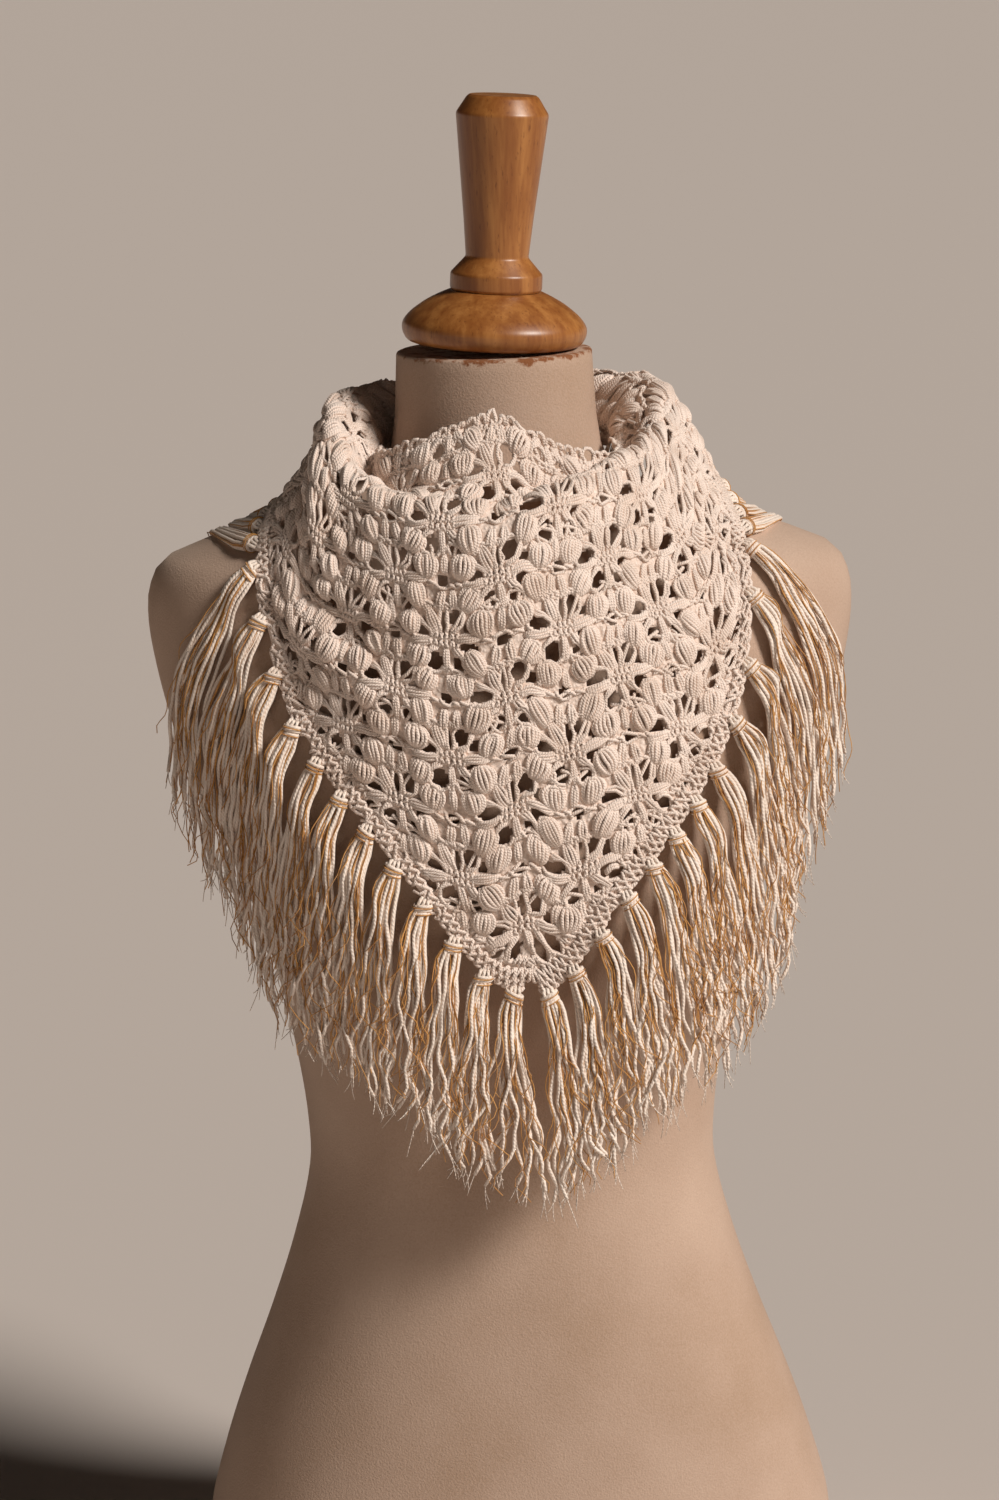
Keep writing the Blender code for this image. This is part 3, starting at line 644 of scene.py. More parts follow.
def cotton_yarn(name, light, dark, twist=3.0, depth=0.32):
    """Plied cotton yarn, unmercerised. Its plies wind round once in twist millimetres."""
    # Dry, matt and soft: the plies show as slanting ridges, loose fibre blurs their edges and
    # catches light at a low angle, and the tone drifts a little along the work. The colour is
    # also darkened in the grooves between the plies, as painted shade
    material, tree, shader = new_material(name, light, 0.88)
    shader.inputs["IOR"].default_value = 1.46
    shader.inputs["Sheen Weight"].default_value = 0.35
    shader.inputs["Sheen Roughness"].default_value = 0.5
    shader.inputs["Sheen Tint"].default_value = linear("#F3E4D3")
    places = add_node(tree, "ShaderNodeTexCoord")
    uv = add_node(tree, "ShaderNodeSeparateXYZ", {"Vector": places.outputs["UV"]})
    run = add_node(
        tree, "ShaderNodeMath", {0: uv.outputs["X"], 1: 1.0 / twist}, operation="MULTIPLY"
    )
    turn = add_node(tree, "ShaderNodeMath", {0: run.outputs[0], 1: uv.outputs["Y"]})
    plies = add_node(
        tree, "ShaderNodeMath", {0: turn.outputs[0], 1: 2 * math.pi * PLIES}, operation="MULTIPLY"
    )
    wave = add_node(tree, "ShaderNodeMath", {0: plies.outputs[0]}, operation="SINE")
    # Cotton fibre is 0.02 mm thick, too fine to show, so its fuzz is drawn 0.7 mm across
    fuzz = add_node(
        tree,
        "ShaderNodeTexNoise",
        {"Vector": places.outputs["Object"], "Scale": cells(0.7143), "Detail": 2.0},
    )
    # The tone drifts over about 17 mm, the width of a puff
    drift = add_node(
        tree,
        "ShaderNodeTexNoise",
        {"Vector": places.outputs["Object"], "Scale": cells(16.667), "Detail": 2.0},
    )
    relief = add_node(
        tree,
        "ShaderNodeMath",
        {0: wave.outputs[0], 1: 0.30, 2: fuzz.outputs["Fac"]},
        operation="MULTIPLY_ADD",
    )
    # Painted shade: the colour darkens where the ply relief is low, in the grooves, and also drifts at
    # random
    groove_shade_and_tone = add_node(
        tree,
        "ShaderNodeMath",
        {0: relief.outputs[0], 1: 0.5, 2: drift.outputs["Fac"]},
        operation="MULTIPLY_ADD",
    )
    ramp = add_node(tree, "ShaderNodeValToRGB", {"Fac": groove_shade_and_tone.outputs[0]})
    set_stops(ramp, ((0.45, dark), (0.85, light)))
    tree.links.new(ramp.outputs["Color"], shader.inputs["Base Color"])
    bump = add_node(
        tree,
        "ShaderNodeBump",
        {"Height": relief.outputs[0], "Strength": 1.0, "Distance": depth * MM},
    )
    tree.links.new(bump.outputs["Normal"], shader.inputs["Normal"])
    return material


def worked_ground(name, light, dark):
    """The same cotton worked into tight small loops, seen between the raised stitches."""
    # Matt, with painted shade darkening its many small pits, so that the raised stitches stand out
    # from it
    material, tree, shader = new_material(name, light, 0.92)
    places = add_node(tree, "ShaderNodeTexCoord")
    # The UV map runs in millimetres, and a loop is 2 mm across
    loops = add_node(
        tree,
        "ShaderNodeTexVoronoi",
        {"Vector": places.outputs["UV"], "Scale": 1.0 / 2.0},
        feature="SMOOTH_F1",
    )
    # The fibre's fuzz, drawn 0.7 mm across as on the yarn
    fuzz = add_node(
        tree,
        "ShaderNodeTexNoise",
        {"Vector": places.outputs["Object"], "Scale": cells(0.7143), "Detail": 2.0},
    )
    relief = add_node(
        tree,
        "ShaderNodeMath",
        {0: fuzz.outputs["Fac"], 1: 0.25, 2: loops.outputs["Distance"]},
        operation="MULTIPLY_ADD",
    )
    # Painted shade: light on the loops' tops and dark in the pits between them
    ramp = add_node(tree, "ShaderNodeValToRGB", {"Fac": loops.outputs["Distance"]})
    set_stops(ramp, ((0.15, light), (0.75, dark)))
    tree.links.new(ramp.outputs["Color"], shader.inputs["Base Color"])
    bump = add_node(
        tree,
        "ShaderNodeBump",
        {"Height": relief.outputs[0], "Strength": 1.0, "Distance": 1.2 * MM},
        invert=True,
    )
    tree.links.new(bump.outputs["Normal"], shader.inputs["Normal"])
    return material


def flocked_cover(name):
    """Cotton flock glued over a padded shell, rubbed through to brown at the neck's rim."""
    # A dull, even nap with soft light round its edges, faint soiling, and ragged brown patches
    # along the rim, mostly at the front right
    material, tree, shader = new_material(name, "#BDA18D", 0.95)
    shader.inputs["Sheen Weight"].default_value = 0.22
    shader.inputs["Sheen Roughness"].default_value = 0.45
    shader.inputs["Sheen Tint"].default_value = linear("#E8D2BE")
    places = add_node(tree, "ShaderNodeTexCoord").outputs["Object"]
    # Flock is 0.5 mm long, too fine to show, so its tufts are drawn 1.1 mm across
    nap = add_node(
        tree, "ShaderNodeTexNoise", {"Vector": places, "Scale": cells(1.1111), "Detail": 3.0}
    )
    # Soiling from hands spreads over about 110 mm
    soil = add_node(
        tree, "ShaderNodeTexNoise", {"Vector": places, "Scale": cells(111.11), "Detail": 5.0}
    )
    tufts = add_node(
        tree,
        "ShaderNodeMath",
        {0: nap.outputs["Fac"], 1: 0.45, 2: soil.outputs["Fac"]},
        operation="MULTIPLY_ADD",
    )
    cloth = add_node(tree, "ShaderNodeValToRGB", {"Fac": tufts.outputs[0]})
    set_stops(cloth, ((0.48, "#AE917A"), (0.72, "#BDA18D"), (0.95, "#C8AD99")))
    parts = add_node(tree, "ShaderNodeSeparateXYZ", {"Vector": places})
    rim = add_node(
        tree,
        "ShaderNodeMapRange",
        {
            "Value": parts.outputs["Z"],
            "From Min": NECK_TOP - 13 * MM,
            "From Max": NECK_TOP - 1 * MM,
        },
    )
    # The worn patches are about 10 mm across, with ragged edges
    patches = add_node(
        tree,
        "ShaderNodeTexNoise",
        {"Vector": places, "Scale": cells(10.526), "Detail": 9.0, "Roughness": 0.68},
    )
    right = add_node(
        tree,
        "ShaderNodeMapRange",
        {
            "Value": parts.outputs["X"],
            "From Min": -45 * MM,
            "From Max": 25 * MM,
            "To Min": 0.86,
        },
    )
    rubbed = add_node(
        tree,
        "ShaderNodeMath",
        {0: rim.outputs["Result"], 1: right.outputs["Result"]},
        operation="MULTIPLY",
    )
    worn = add_node(
        tree,
        "ShaderNodeMath",
        {0: rubbed.outputs[0], 1: patches.outputs["Fac"]},
        operation="MULTIPLY",
    )
    mask = add_node(
        tree, "ShaderNodeMapRange", {"Value": worn.outputs[0], "From Min": 0.43, "From Max": 0.50}
    )
    mix = add_node(
        tree,
        "ShaderNodeMix",
        {"Factor": mask.outputs["Result"], 6: cloth.outputs["Color"], 7: linear("#86522F")},
        data_type="RGBA",
    )
    tree.links.new(mix.outputs[2], shader.inputs["Base Color"])
    bump = add_node(
        tree,
        "ShaderNodeBump",
        {"Height": nap.outputs["Fac"], "Strength": 0.55, "Distance": 0.6 * MM},
    )
    tree.links.new(bump.outputs["Normal"], shader.inputs["Normal"])
    return material


def varnished_beech(name):
    """Beech turned on a lathe and varnished to a satin."""
    # Warm brown with a soft highlight, fine grain and short dark pores along the turning
    # axis, and a faint broader figure
    material, tree, shader = new_material(name, "#9A5F30", 0.38)
    shader.inputs["IOR"].default_value = 1.5
    shader.inputs["Coat Weight"].default_value = 0.18
    shader.inputs["Coat Roughness"].default_value = 0.34
    places = add_node(tree, "ShaderNodeTexCoord").outputs["Object"]
    turned = add_node(
        tree,
        "ShaderNodeMapping",
        {"Vector": places, "Rotation": (0.0, -WOOD_TILT, 0.0), "Scale": (1.0, 1.0, 0.045)},
    )
    # Beech's grain lines lie 1 mm apart or less, and are drawn 2.4 mm apart to show
    grain = add_node(
        tree,
        "ShaderNodeTexNoise",
        {"Vector": turned.outputs[0], "Scale": cells(2.381), "Detail": 5.0, "Distortion": 0.6},
    )
    # Growth rings that the turning cuts at a slant show as bands about 8 mm wide
    rings = add_node(
        tree,
        "ShaderNodeTexNoise",
        {"Vector": turned.outputs[0], "Scale": cells(8.3333), "Detail": 3.0, "Distortion": 0.3},
    )
    figure = add_node(
        tree,
        "ShaderNodeMath",
        {0: grain.outputs["Fac"], 1: 0.45, 2: rings.outputs["Fac"]},
        operation="MULTIPLY_ADD",
    )
    ramp = add_node(tree, "ShaderNodeValToRGB", {"Fac": figure.outputs[0]})
    set_stops(ramp, ((0.42, "#83491E"), (0.70, "#9C622F"), (0.95, "#B3783F")))
    flecks = add_node(
        tree,
        "ShaderNodeMapping",
        {"Vector": places, "Rotation": (0.0, -WOOD_TILT, 0.0), "Scale": (1.0, 1.0, 0.22)},
    )
    # The pores' flecks are 0.3 mm wide and 2 to 3 mm long, and are drawn 1.6 mm wide to show
    pores = add_node(
        tree,
        "ShaderNodeTexNoise",
        {"Vector": flecks.outputs[0], "Scale": cells(1.6129), "Detail": 3.0, "Roughness": 0.6},
    )
    open_pores = add_node(
        tree,
        "ShaderNodeMapRange",
        {"Value": pores.outputs["Fac"], "From Min": 0.60, "From Max": 0.70, "To Max": 0.6},
    )
    mix = add_node(
        tree,
        "ShaderNodeMix",
        {"Factor": open_pores.outputs["Result"], 6: ramp.outputs["Color"], 7: linear("#6A3A18")},
        data_type="RGBA",
    )
    tree.links.new(mix.outputs[2], shader.inputs["Base Color"])
    bump = add_node(
        tree,
        "ShaderNodeBump",
        {"Height": grain.outputs["Fac"], "Strength": 0.12, "Distance": 0.3 * MM},
    )
    tree.links.new(bump.outputs["Normal"], shader.inputs["Normal"])
    return material


def trowelled_plaster(name, colour):
    """Trowelled plaster, painted matt."""
    # Pale and dry, without shine, so that nothing but the form's shadow shows on it
    return new_material(name, colour, 0.95)[0]


def finished(piece, material, *replaced, slot):
    """Gives a piece its material and its place in the frame, and hides the nodes that it stands for.
    """
    piece.data.materials.clear()
    piece.data.materials.append(material)
    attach(piece, "root")
    if replaced:
        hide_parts(*replaced)
    return piece


def new_piece(name, mesh):
    """An object for a mesh, in the scene."""
    piece = bpy.data.objects.new(name, mesh)
    bpy.context.scene.collection.objects.link(piece)
    return piece


def select_none():
    """Leaves nothing selected, in object mode."""
    if bpy.context.mode != "OBJECT":
        bpy.ops.object.mode_set(mode="OBJECT")
    bpy.ops.object.select_all(action="DESELECT")


def select_faces(piece, indices):
    """Selects only the given faces of a piece."""
    for items in (piece.data.vertices, piece.data.edges, piece.data.polygons):
        items.foreach_set("select", np.zeros(len(items), bool))
    for index in indices:
        piece.data.polygons[index].select = True


def raised_by_rings(name, sides, rings):
    """A form raised from a disc by extruding and scaling its top, ring after ring."""
    select_none()
    radius, height = rings[0]
    bpy.ops.mesh.primitive_circle_add(
        vertices=sides, radius=radius, fill_type="NGON", location=(0.0, 0.0, height)
    )
    piece = bpy.context.active_object
    piece.name = piece.data.name = name
    bpy.ops.object.mode_set(mode="EDIT")
    bpy.ops.mesh.select_all(action="SELECT")
    for (radius, height), (wider, higher) in zip(rings, rings[1:]):
        bpy.ops.mesh.extrude_region_move(
            TRANSFORM_OT_translate={"value": (0.0, 0.0, higher - height)}
        )
        share = wider / radius
        bpy.ops.transform.resize(value=(share, share, 1.0))
    bpy.ops.mesh.select_all(action="SELECT")
    bpy.ops.mesh.normals_make_consistent(inside=False)
    bpy.ops.object.mode_set(mode="OBJECT")
    bpy.ops.object.transform_apply(location=True, rotation=True, scale=True)
    return piece


def rounded(profile):
    """The places up a profile, with each corner rounded over its own short run."""
    places = [Vector(row[:2]) for row in profile]
    line = [places[0]]
    for before, corner, after, row in zip(places, places[1:], places[2:], profile[1:]):
        if not row[2]:
            line.append(corner)
            continue
        run = min(row[2], (corner - before).length / 2, (after - corner).length / 2)
        start = corner + (before - corner).normalized() * run
        end = corner + (after - corner).normalized() * run
        for t in np.linspace(0.0, 1.0, 5):
            line.append(start * (1 - t) ** 2 + corner * 2 * t * (1 - t) + end * t * t)
    return [tuple(p) for p in (*line, places[-1])]


def turned_piece(name, profile, foot):
    """A turned piece of wood, tipped as the frame has it, with its edges kept crisp."""
    piece = raised_by_rings(name, WOOD_SIDES, rounded(profile))
    tip = Matrix.Translation(foot) @ Matrix.Rotation(WOOD_TILT, 4, "Y")
    piece.data.transform(tip)
    bpy.context.view_layer.objects.active = piece
    piece.select_set(True)
    bpy.ops.object.shade_smooth_by_angle(angle=math.radians(32))
    return piece


def wood_axis():
    """The direction of the turned wood's axis."""
    return Vector((math.sin(WOOD_TILT), 0.0, math.cos(WOOD_TILT)))


class Stitches:
    """Works the stitches of the crochet in the flat, in millimetres, into lengths of yarn."""

    def __init__(self, drape, sizes, seed):
        self.drape, self.sizes = drape, sizes
        self.chance = random.Random(seed)
        self.radius = sizes.yarn / 2
        self.centres = [
            (x + self.chance.uniform(-1.2, 1.2), y + self.chance.uniform(-1.0, 1.0))
            for x, y in flower_centres()
        ]
        rows = []
        for x, y in self.centres:
            for across, up, wide, tall, tilt in HOLES:
                size = self.chance.uniform(*HOLE_SIZES)
                rows.append((
                    x + across + self.chance.uniform(-0.5, 0.5),
                    y - up + self.chance.uniform(-0.5, 0.5),
                    wide * size,
                    tall * size,
                    -math.radians(tilt + self.chance.uniform(-8, 8)),
                ))
        self.holes = np.array(rows)

    def off_holes(self, flat, margin):
        """How deep each flat place lies in the gaps, and the centre of its deepest one."""
        x, y, wide, tall, tilt = self.holes.T
        dx, dy = flat[:, :1] - x, flat[:, 1:2] - y
        u = (dx * np.cos(tilt) + dy * np.sin(tilt)) / (wide + margin)
        v = (-dx * np.sin(tilt) + dy * np.cos(tilt)) / (tall + margin)
        share = np.hypot(u, v)
        deepest = share.argmin(axis=1)
        return share[np.arange(len(flat)), deepest], self.holes[deepest, :2]

    def parted(self, flat):
        """A line moved aside where it would cross a gap."""
        share, middle = self.off_holes(flat, HOLE_MARGIN)
        inside = share < 1.0
        pushed = flat.copy()
        away = (flat[:, :2] - middle) / np.maximum(share, 0.25)[:, None]
        pushed[inside, :2] = (middle + away)[inside]
        return pushed

    def moved(self, points, centre, tilt=0.0):
        """Flat places turned by a tilt and moved to a centre; up is towards the long edge."""
        points = np.asarray(points, float)
        c, s = math.cos(math.radians(tilt)), math.sin(math.radians(tilt))
        x = points[:, 0] * c - points[:, 1] * s + centre[0]
        y = points[:, 0] * s + points[:, 1] * c
        return np.column_stack([x, centre[1] - y, points[:, 2]])

    def inside(self, flat, margin=0.8):
        """Whether all of a line lies within the cut."""
        across, depth = np.abs(flat[:, 0]), flat[:, 1]
        return bool(
            (depth > margin).all() and (across + depth < DEPTH / MM - margin).all()
        )

    def draw(self, yarn, flat, radius, rings, sides=4, within=True, part=True):
        """Adds one length of yarn along flat places, if it lies within the cut."""
        line = curved(flat, rings)
        if part:
            line = self.parted(line)
        if within and not self.inside(line):
            return
        yarn.add(self.drape.lay(line), radius * MM, sides)

    def puff(self, yarn, centre, tilt, width, length, height, loops=8):
        """Loops of yarn gathered at both ends that stand up between them."""
        radius = self.radius * 1.02
        tilt += self.chance.uniform(-16, 16)
        width *= self.chance.uniform(0.85, 1.05)
        length *= self.chance.uniform(0.92, 1.10)
        height *= self.chance.uniform(0.62, 1.1)
        lopsided = self.chance.uniform(-0.3, 0.3)
        # Each loop leans to its own side of the puff and stands up where it swells
        for k in range(loops):
            share = -1 + 2 * (k + 0.5) / loops
            lean = math.radians(80) * share
            loose = self.chance.uniform(-0.7, 0.7)
            points = []
            for t in np.linspace(0.0, 1.0, 6):
                swell = math.sin(math.pi * t)
                fan = 0.85 + 0.30 * t
                x = width / 2 * math.sin(lean) * (0.30 + 0.70 * swell**0.6) * fan
                z = 1.5 + (height * math.cos(lean) + loose) * swell**0.6
                points.append((
                    x + lopsided * width * 0.3 * swell + self.chance.uniform(-0.25, 0.25),
                    -length / 2 + length * t + self.chance.uniform(-0.3, 0.3),
                    z,
                ))
            flat = self.moved(points, centre, tilt)
            self.draw(yarn, flat, radius, 8, 5, part=False)
        # Two short strands across the top gather the loops
        top = length / 2 - 0.6
        for drop in (0.0, 1.5):
            tie = [
                (-3.4, top - 1.2 - drop, 1.8),
                (0.0, top + 0.4 - drop, 3.0),
                (3.4, top - 1.2 - drop, 1.8),
            ]
            self.draw(yarn, self.moved(tie, centre, tilt), radius, 5, part=False)

    def petal(self, yarn, row, centre, tilt):
        """Side by side strands from one place to another, gathered at both ends."""
        x0, y0, x1, y1, strands, width, height = row
        run = math.hypot(x1 - x0, y1 - y0) * self.chance.uniform(0.94, 1.08)
        lean = math.degrees(math.atan2(y1 - y0, x1 - x0)) - 90 + self.chance.uniform(-6, 6)
        c, s = math.cos(math.radians(tilt)), math.sin(math.radians(tilt))
        x, y = (x0 + x1) / 2, (y0 + y1) / 2
        spot = (centre[0] + x * c - y * s, centre[1] - x * s - y * c)
        turn = self.chance.uniform(-0.35, 0.35)
        for k in range(strands):
            share = -1 + 2 * (k + 0.5) / strands
            points = []
            for t in np.linspace(0.0, 1.0, 5):
                swell = math.sin(math.pi * t)
                swap = math.cos(math.pi * (t - 0.5) * turn * 2)
                points.append((
                    width / 2 * share * (0.50 + 0.50 * swell) * swap
                    + self.chance.uniform(-0.25, 0.25),
                    run * (t - 0.5),
                    1.5 + height * swell**0.7 * (1 - 0.35 * share * share)
                    + self.chance.uniform(-0.15, 0.3),
                ))
            flat = self.moved(points, spot, lean + tilt)
            self.draw(yarn, flat, self.radius, max(int(run / 2.3), 4))

    def vee(self, yarn, centre, tilt=0.0, width=3.7, height=4.3, lift=1.5, within=True):
        """One V-shaped stitch of two short legs."""
        tilt += self.chance.uniform(-20, 20)
        centre = (
            centre[0] + self.chance.uniform(-0.4, 0.4), centre[1] + self.chance.uniform(-0.4, 0.4)
        )
        # Each leg runs from its foot at the middle, through its swell, to its tip
        for side in (-1, 1):
            points = [
                (side * 0.25, -height / 2, lift - 0.5),
                (side * width * 0.24, -height * 0.12, lift + 0.75),
                (side * width * 0.46, height * 0.30, lift + 0.9),
                (side * width * 0.38, height / 2, lift - 0.3),
            ]
            flat = self.moved(points, centre, tilt)
            self.draw(yarn, flat, self.radius * 0.95, 5, 4, within)

    def chain(self, yarn, up, start, end, centre):
        """Two strands along a row that cross over each other."""
        count = max(int((end - start) / CHAIN_LINK), 1)
        step = (end - start) / count
        for k in range(count):
            x = start + step * (k + 0.5)
            y = up + self.chance.uniform(-0.6, 0.6)
            for half in (-1, 1):
                points = [
                    (x - step * 0.6, y + half * 1.2, 1.5),
                    (x, y + half * 0.3, 2.3 + 0.3 * half),
                    (x + step * 0.6, y - half * 1.1, 1.5),
                ]
                self.draw(yarn, self.moved(points, centre), self.radius, 5)

    def flower(self, petals, stitches, raised, centre):
        """One repeat of the pattern round a centre."""
        shake = self.chance.uniform
        for x, y, tilt, width, length, height in PUFFS:
            spot = (centre[0] + x + shake(-0.9, 0.9), centre[1] - y + shake(-0.9, 0.9))
            self.puff(raised, spot, tilt, width, length, height)
        tilt = shake(-5, 5)
        for row in PETALS:
            self.petal(petals, row, centre, tilt)
        for up, start, end, lift in V_ROWS:
            count = int(round((end - start) / V_SPACING))
            for k in range(count):
                x = start + (end - start) * (k + 0.5) / count
                self.vee(stitches, (centre[0] + x, centre[1] - up), lift=lift)
        for up, start, end in CHAIN_ROWS:
            self.chain(stitches, up, start, end, centre)

    def ground(self, name):
        """The flat of the work under the raised stitches, open at its gaps, as one mesh."""
        size = int(DEPTH / MM / GROUND_STEP)
        spots, keys = [], {}
        for row in range(size + 1):
            for column in range(row - size, size - row + 1):
                keys[column, row] = len(spots)
                ripple = 0.25 * math.sin(column * 2.4) * math.sin(row * 2.1)
                spots.append((column * GROUND_STEP, row * GROUND_STEP, 1.0 + ripple))
        spots = np.array(spots)
        faces = []
        for column, row in keys:
            square = ((column, row), (column, row + 1), (column + 1, row + 1), (column + 1, row))
            corners = [keys[place] for place in square if place in keys]
            if len(corners) > 2 and (column + 1, row) in keys:
                faces.append(corners)
        middles = np.array([spots[list(face)].mean(axis=0) for face in faces])
        share, _ = self.off_holes(middles, 0.2)
        kept = [face for face, s in zip(faces, share) if s >= 1.0]
        mesh = bpy.data.meshes.new(name)
        mesh.from_pydata(self.drape.lay(spots).tolist(), [], kept)
        layer = mesh.uv_layers.new(name="yarn")
        corners = np.empty(len(mesh.loops), np.int32)
        mesh.loops.foreach_get("vertex_index", corners)
        layer.uv.foreach_set("vector", spots[corners, :2].ravel().astype(np.float32))
        mesh.shade_smooth()
        return mesh


def flower_centres():
    """Across and depth of each flower's centre, in millimetres, from the point upwards."""
    rows = list(range(ROW_CELLS, CELLS_DEEP, ROW_CELLS))
    for number, row in enumerate(rows):
        shift = ROW_CELLS * ((len(rows) - 1 - number) % 2)
        for column in range(-CELLS_DEEP - FLOWER_CELLS, CELLS_DEEP + FLOWER_CELLS + 1):
            on_cut = abs(column) + row <= CELLS_DEEP + CELLS_PAST_CUT
            if (column - shift) % FLOWER_CELLS == 0 and on_cut:
                yield column * CELL / MM, row * CELL / MM
    for column in range(-CELLS_DEEP, CELLS_DEEP + 1):
        if (column - ROW_CELLS * (len(rows) % 2)) % FLOWER_CELLS == 0:
            yield column * CELL / MM, 0.0


def swing_at(angle, chest, gone):
    """How far round a strand has swung outwards after this length of its fall."""
    table = CHEST_SWING if chest else BACK_SWING
    over = CHEST_SWING_LENGTH if chest else BACK_SWING_LENGTH
    swing = math.radians(float(np.interp(abs(math.degrees(angle)), table[:, 0], table[:, 1])))
    return math.copysign(swing * (1.0 - math.exp(-((gone / over) ** 2))), angle)


def fall_line(chest, angle, radius, height, length):
    """Places down a strand's fall: down, or over the form where it bars."""
    line = [place(angle, radius, height)]
    lean = FIRST_LEAN
    gone = 0.0
    while gone < length:
        gone += MARCH_STEP
        here = angle + swing_at(angle, chest, gone)
        lean = max(lean - LEAN_STEP, 0.0)
        turn = lean
        while turn < STEEPEST_CLIMB:
            there = (radius + MARCH_STEP * math.sin(turn), height - MARCH_STEP * math.cos(turn))
            if form_gap(here, *there) >= STRAND_CLEARANCE:
                break
            turn += CLIMB_STEP
        radius, height = there
        line.append(place(here, radius, height))
    return np.array(line)


# How high over the drape a tassel's knot sits, and how far beyond and beside it the places
# lie that give its directions, in millimetres
KNOT_HEIGHT = 1.6
BEYOND, BESIDE, ABOVE = 3.6, 3.0, 1.0
# The knot leans on to these directions: how far to the back and how far out from the hem
CHEST_LEAD = (0.0, 0.55)
BACK_LEAD = (3.0, 0.15)
KNOT_OUT, KNOT_UP = 0.0026, 0.0008
# A tassel's fall lanes start this far out and over the drape, in millimetres, and run on a
# little past the strands' length
LANE_OUT, LANE_LIFT = 5.0, 3.0
LANE_SPARE = 1.15
# A strand's root lies within this half width of the knot's middle and fans out below it
ROOT_HALF, ROOT_LAYERS = 0.0036, 0.8
FAN_HALF, FAN_RUN = 0.0024, 0.008
FIRST_STATION = 0.004
# The two waves that a strand lies in, as ranges of their length and their size
STRAND_WAVES = (((0.020, 0.034), (0.5, 1.0)), ((0.040, 0.075), (0.7, 1.3)))


class Tassel:
    """One tassel: where its knot sits and how its strands can fall."""

    def __init__(self, drape, side, number):
        along = (FIRST_TASSEL + TASSEL_PITCH * number) / MM
        out = (EDGING_GAP + EDGING_WIDTH) / MM
        spots = [
            (*hem_flat(side, along, out), KNOT_HEIGHT),
            (*hem_flat(side, along, out + BEYOND), KNOT_HEIGHT),
            (*hem_flat(side, along + BESIDE, out), KNOT_HEIGHT),
            (*hem_flat(side, along, out), KNOT_HEIGHT + ABOVE),
        ]
        edge, beyond, beside, above = (Vector(p) for p in drape.lay(spots))
        self.normal = (above - edge).normalized()
        sideways = beside - edge
        self.sideways = (sideways - self.normal * sideways.dot(self.normal)).normalized()
        outward = (beyond - edge) - self.normal * (beyond - edge).dot(self.normal)
        self.outward = outward.normalized()
        angle = angle_of(*(x * MM for x in hem_flat(side, along, out)))
        self.chest = abs(math.degrees(angle)) < PARTING
        back, out_share = CHEST_LEAD if self.chest else BACK_LEAD
        down = Vector((0.0, back, -1.0))
        down = down - self.normal * down.dot(self.normal)
        self.lead = (self.outward * out_share + down).normalized()
        self.beside = self.lead.cross(self.normal)
        self.knot = edge + self.outward * KNOT_OUT + self.normal * KNOT_UP
        share = smooth_step(number / LONG_FROM)
        self.length = FRONT_LENGTH + (SIDE_LENGTH - FRONT_LENGTH) * share
        self.lanes = []
        for spread in (-0.5, 0.0, 0.5):
            flat = hem_flat(side, along + spread * TASSEL_PITCH / MM, out + LANE_OUT)
            start = drape.lay([(*flat, LANE_LIFT)])[0]
            lane = math.atan2(start[0], -start[1])
            radius, height = clear_of_form(
                lane, math.hypot(start[0], start[1]), start[2], STRAND_CLEARANCE
            )
            reach = self.length * LANE_SPARE
            self.lanes.append(fall_line(self.chest, lane, radius, height, reach))

    def spot(self, across, gone):
        """A place down the fall, by how far across the tassel it is, from -1 to 1."""
        i = min(gone / MARCH_STEP, len(self.lanes[0]) - 1.001)
        k, t = int(i), i - int(i)
        rows = [lane[k] * (1 - t) + lane[k + 1] * t for lane in self.lanes]
        if across < 0:
            return rows[1] * (1 + across) - rows[0] * across
        return rows[1] * (1 - across) + rows[2] * across


def strand_line(tassel, chance, across, layer, length, wander, step=0.005):
    """A strand from the knot down its tassel's fall, gathered above and loose below."""
    waves = [
        (chance.uniform(*lengths), chance.uniform(0, 6.3), chance.uniform(*weights))
        for lengths, weights in STRAND_WAVES
    ]
    drift = chance.uniform(-0.5, 0.5)
    knot, lead = np.array(tassel.knot), np.array(tassel.lead)
    # Sideways places run from the point outwards, as the lanes do
    turned = 1.0 if tassel.beside.dot(tassel.sideways) > 0 else -1.0
    beside_knot = np.array(tassel.beside) * turned * across
    root = knot + beside_knot * ROOT_HALF + np.array(tassel.normal) * layer * ROOT_LAYERS
    points = [root]
    gone = FIRST_STATION
    while gone < length:
        share = gone / length
        # Drawn together under the knot, wider below it, and widest at the loose end
        spread = 0.50 + 0.28 * min(share * 2.2, 1.0) + 0.85 * share**2
        here = tassel.spot(across * spread + drift * share**2, gone)
        free = smooth_step(gone / FREE_FROM)
        straight = root + lead * gone + beside_knot * FAN_HALF * min(gone / FAN_RUN, 1.0)
        here = straight * (1 - free) + here * free
        radial = np.array((here[0], here[1], 0.0))
        radial /= np.linalg.norm(radial)
        beside = np.array((-radial[1], radial[0], 0.0))
        size = wander * (0.15 + 0.85 * share**1.5)
        sway = sum(w * math.sin(gone / l * 2 * math.pi + p) for l, p, w in waves)
        bob = sum(w * math.cos(gone / l * 2 * math.pi * 0.9 + 2 * p) for l, p, w in waves)
        out = layer * (1 - 0.4 * share) + 0.35 * size * (1.5 + bob)
        points.append(here + beside * sway * size + radial * out * (0.3 + 0.7 * free))
        gone += step
    return curved(points, len(points))


# The floor's disc, and how far its outer part spreads and rises, as shares of the level part
FLOOR_SIDES = 64
FLOOR_SPREAD = 2.1
FLOOR_RISE = 0.18
# The key light's turn to the right, its rise, and how wide its disc looks
KEY_TURN = math.radians(58)
KEY_RISE = math.radians(38)
KEY_WIDTH = math.radians(17)
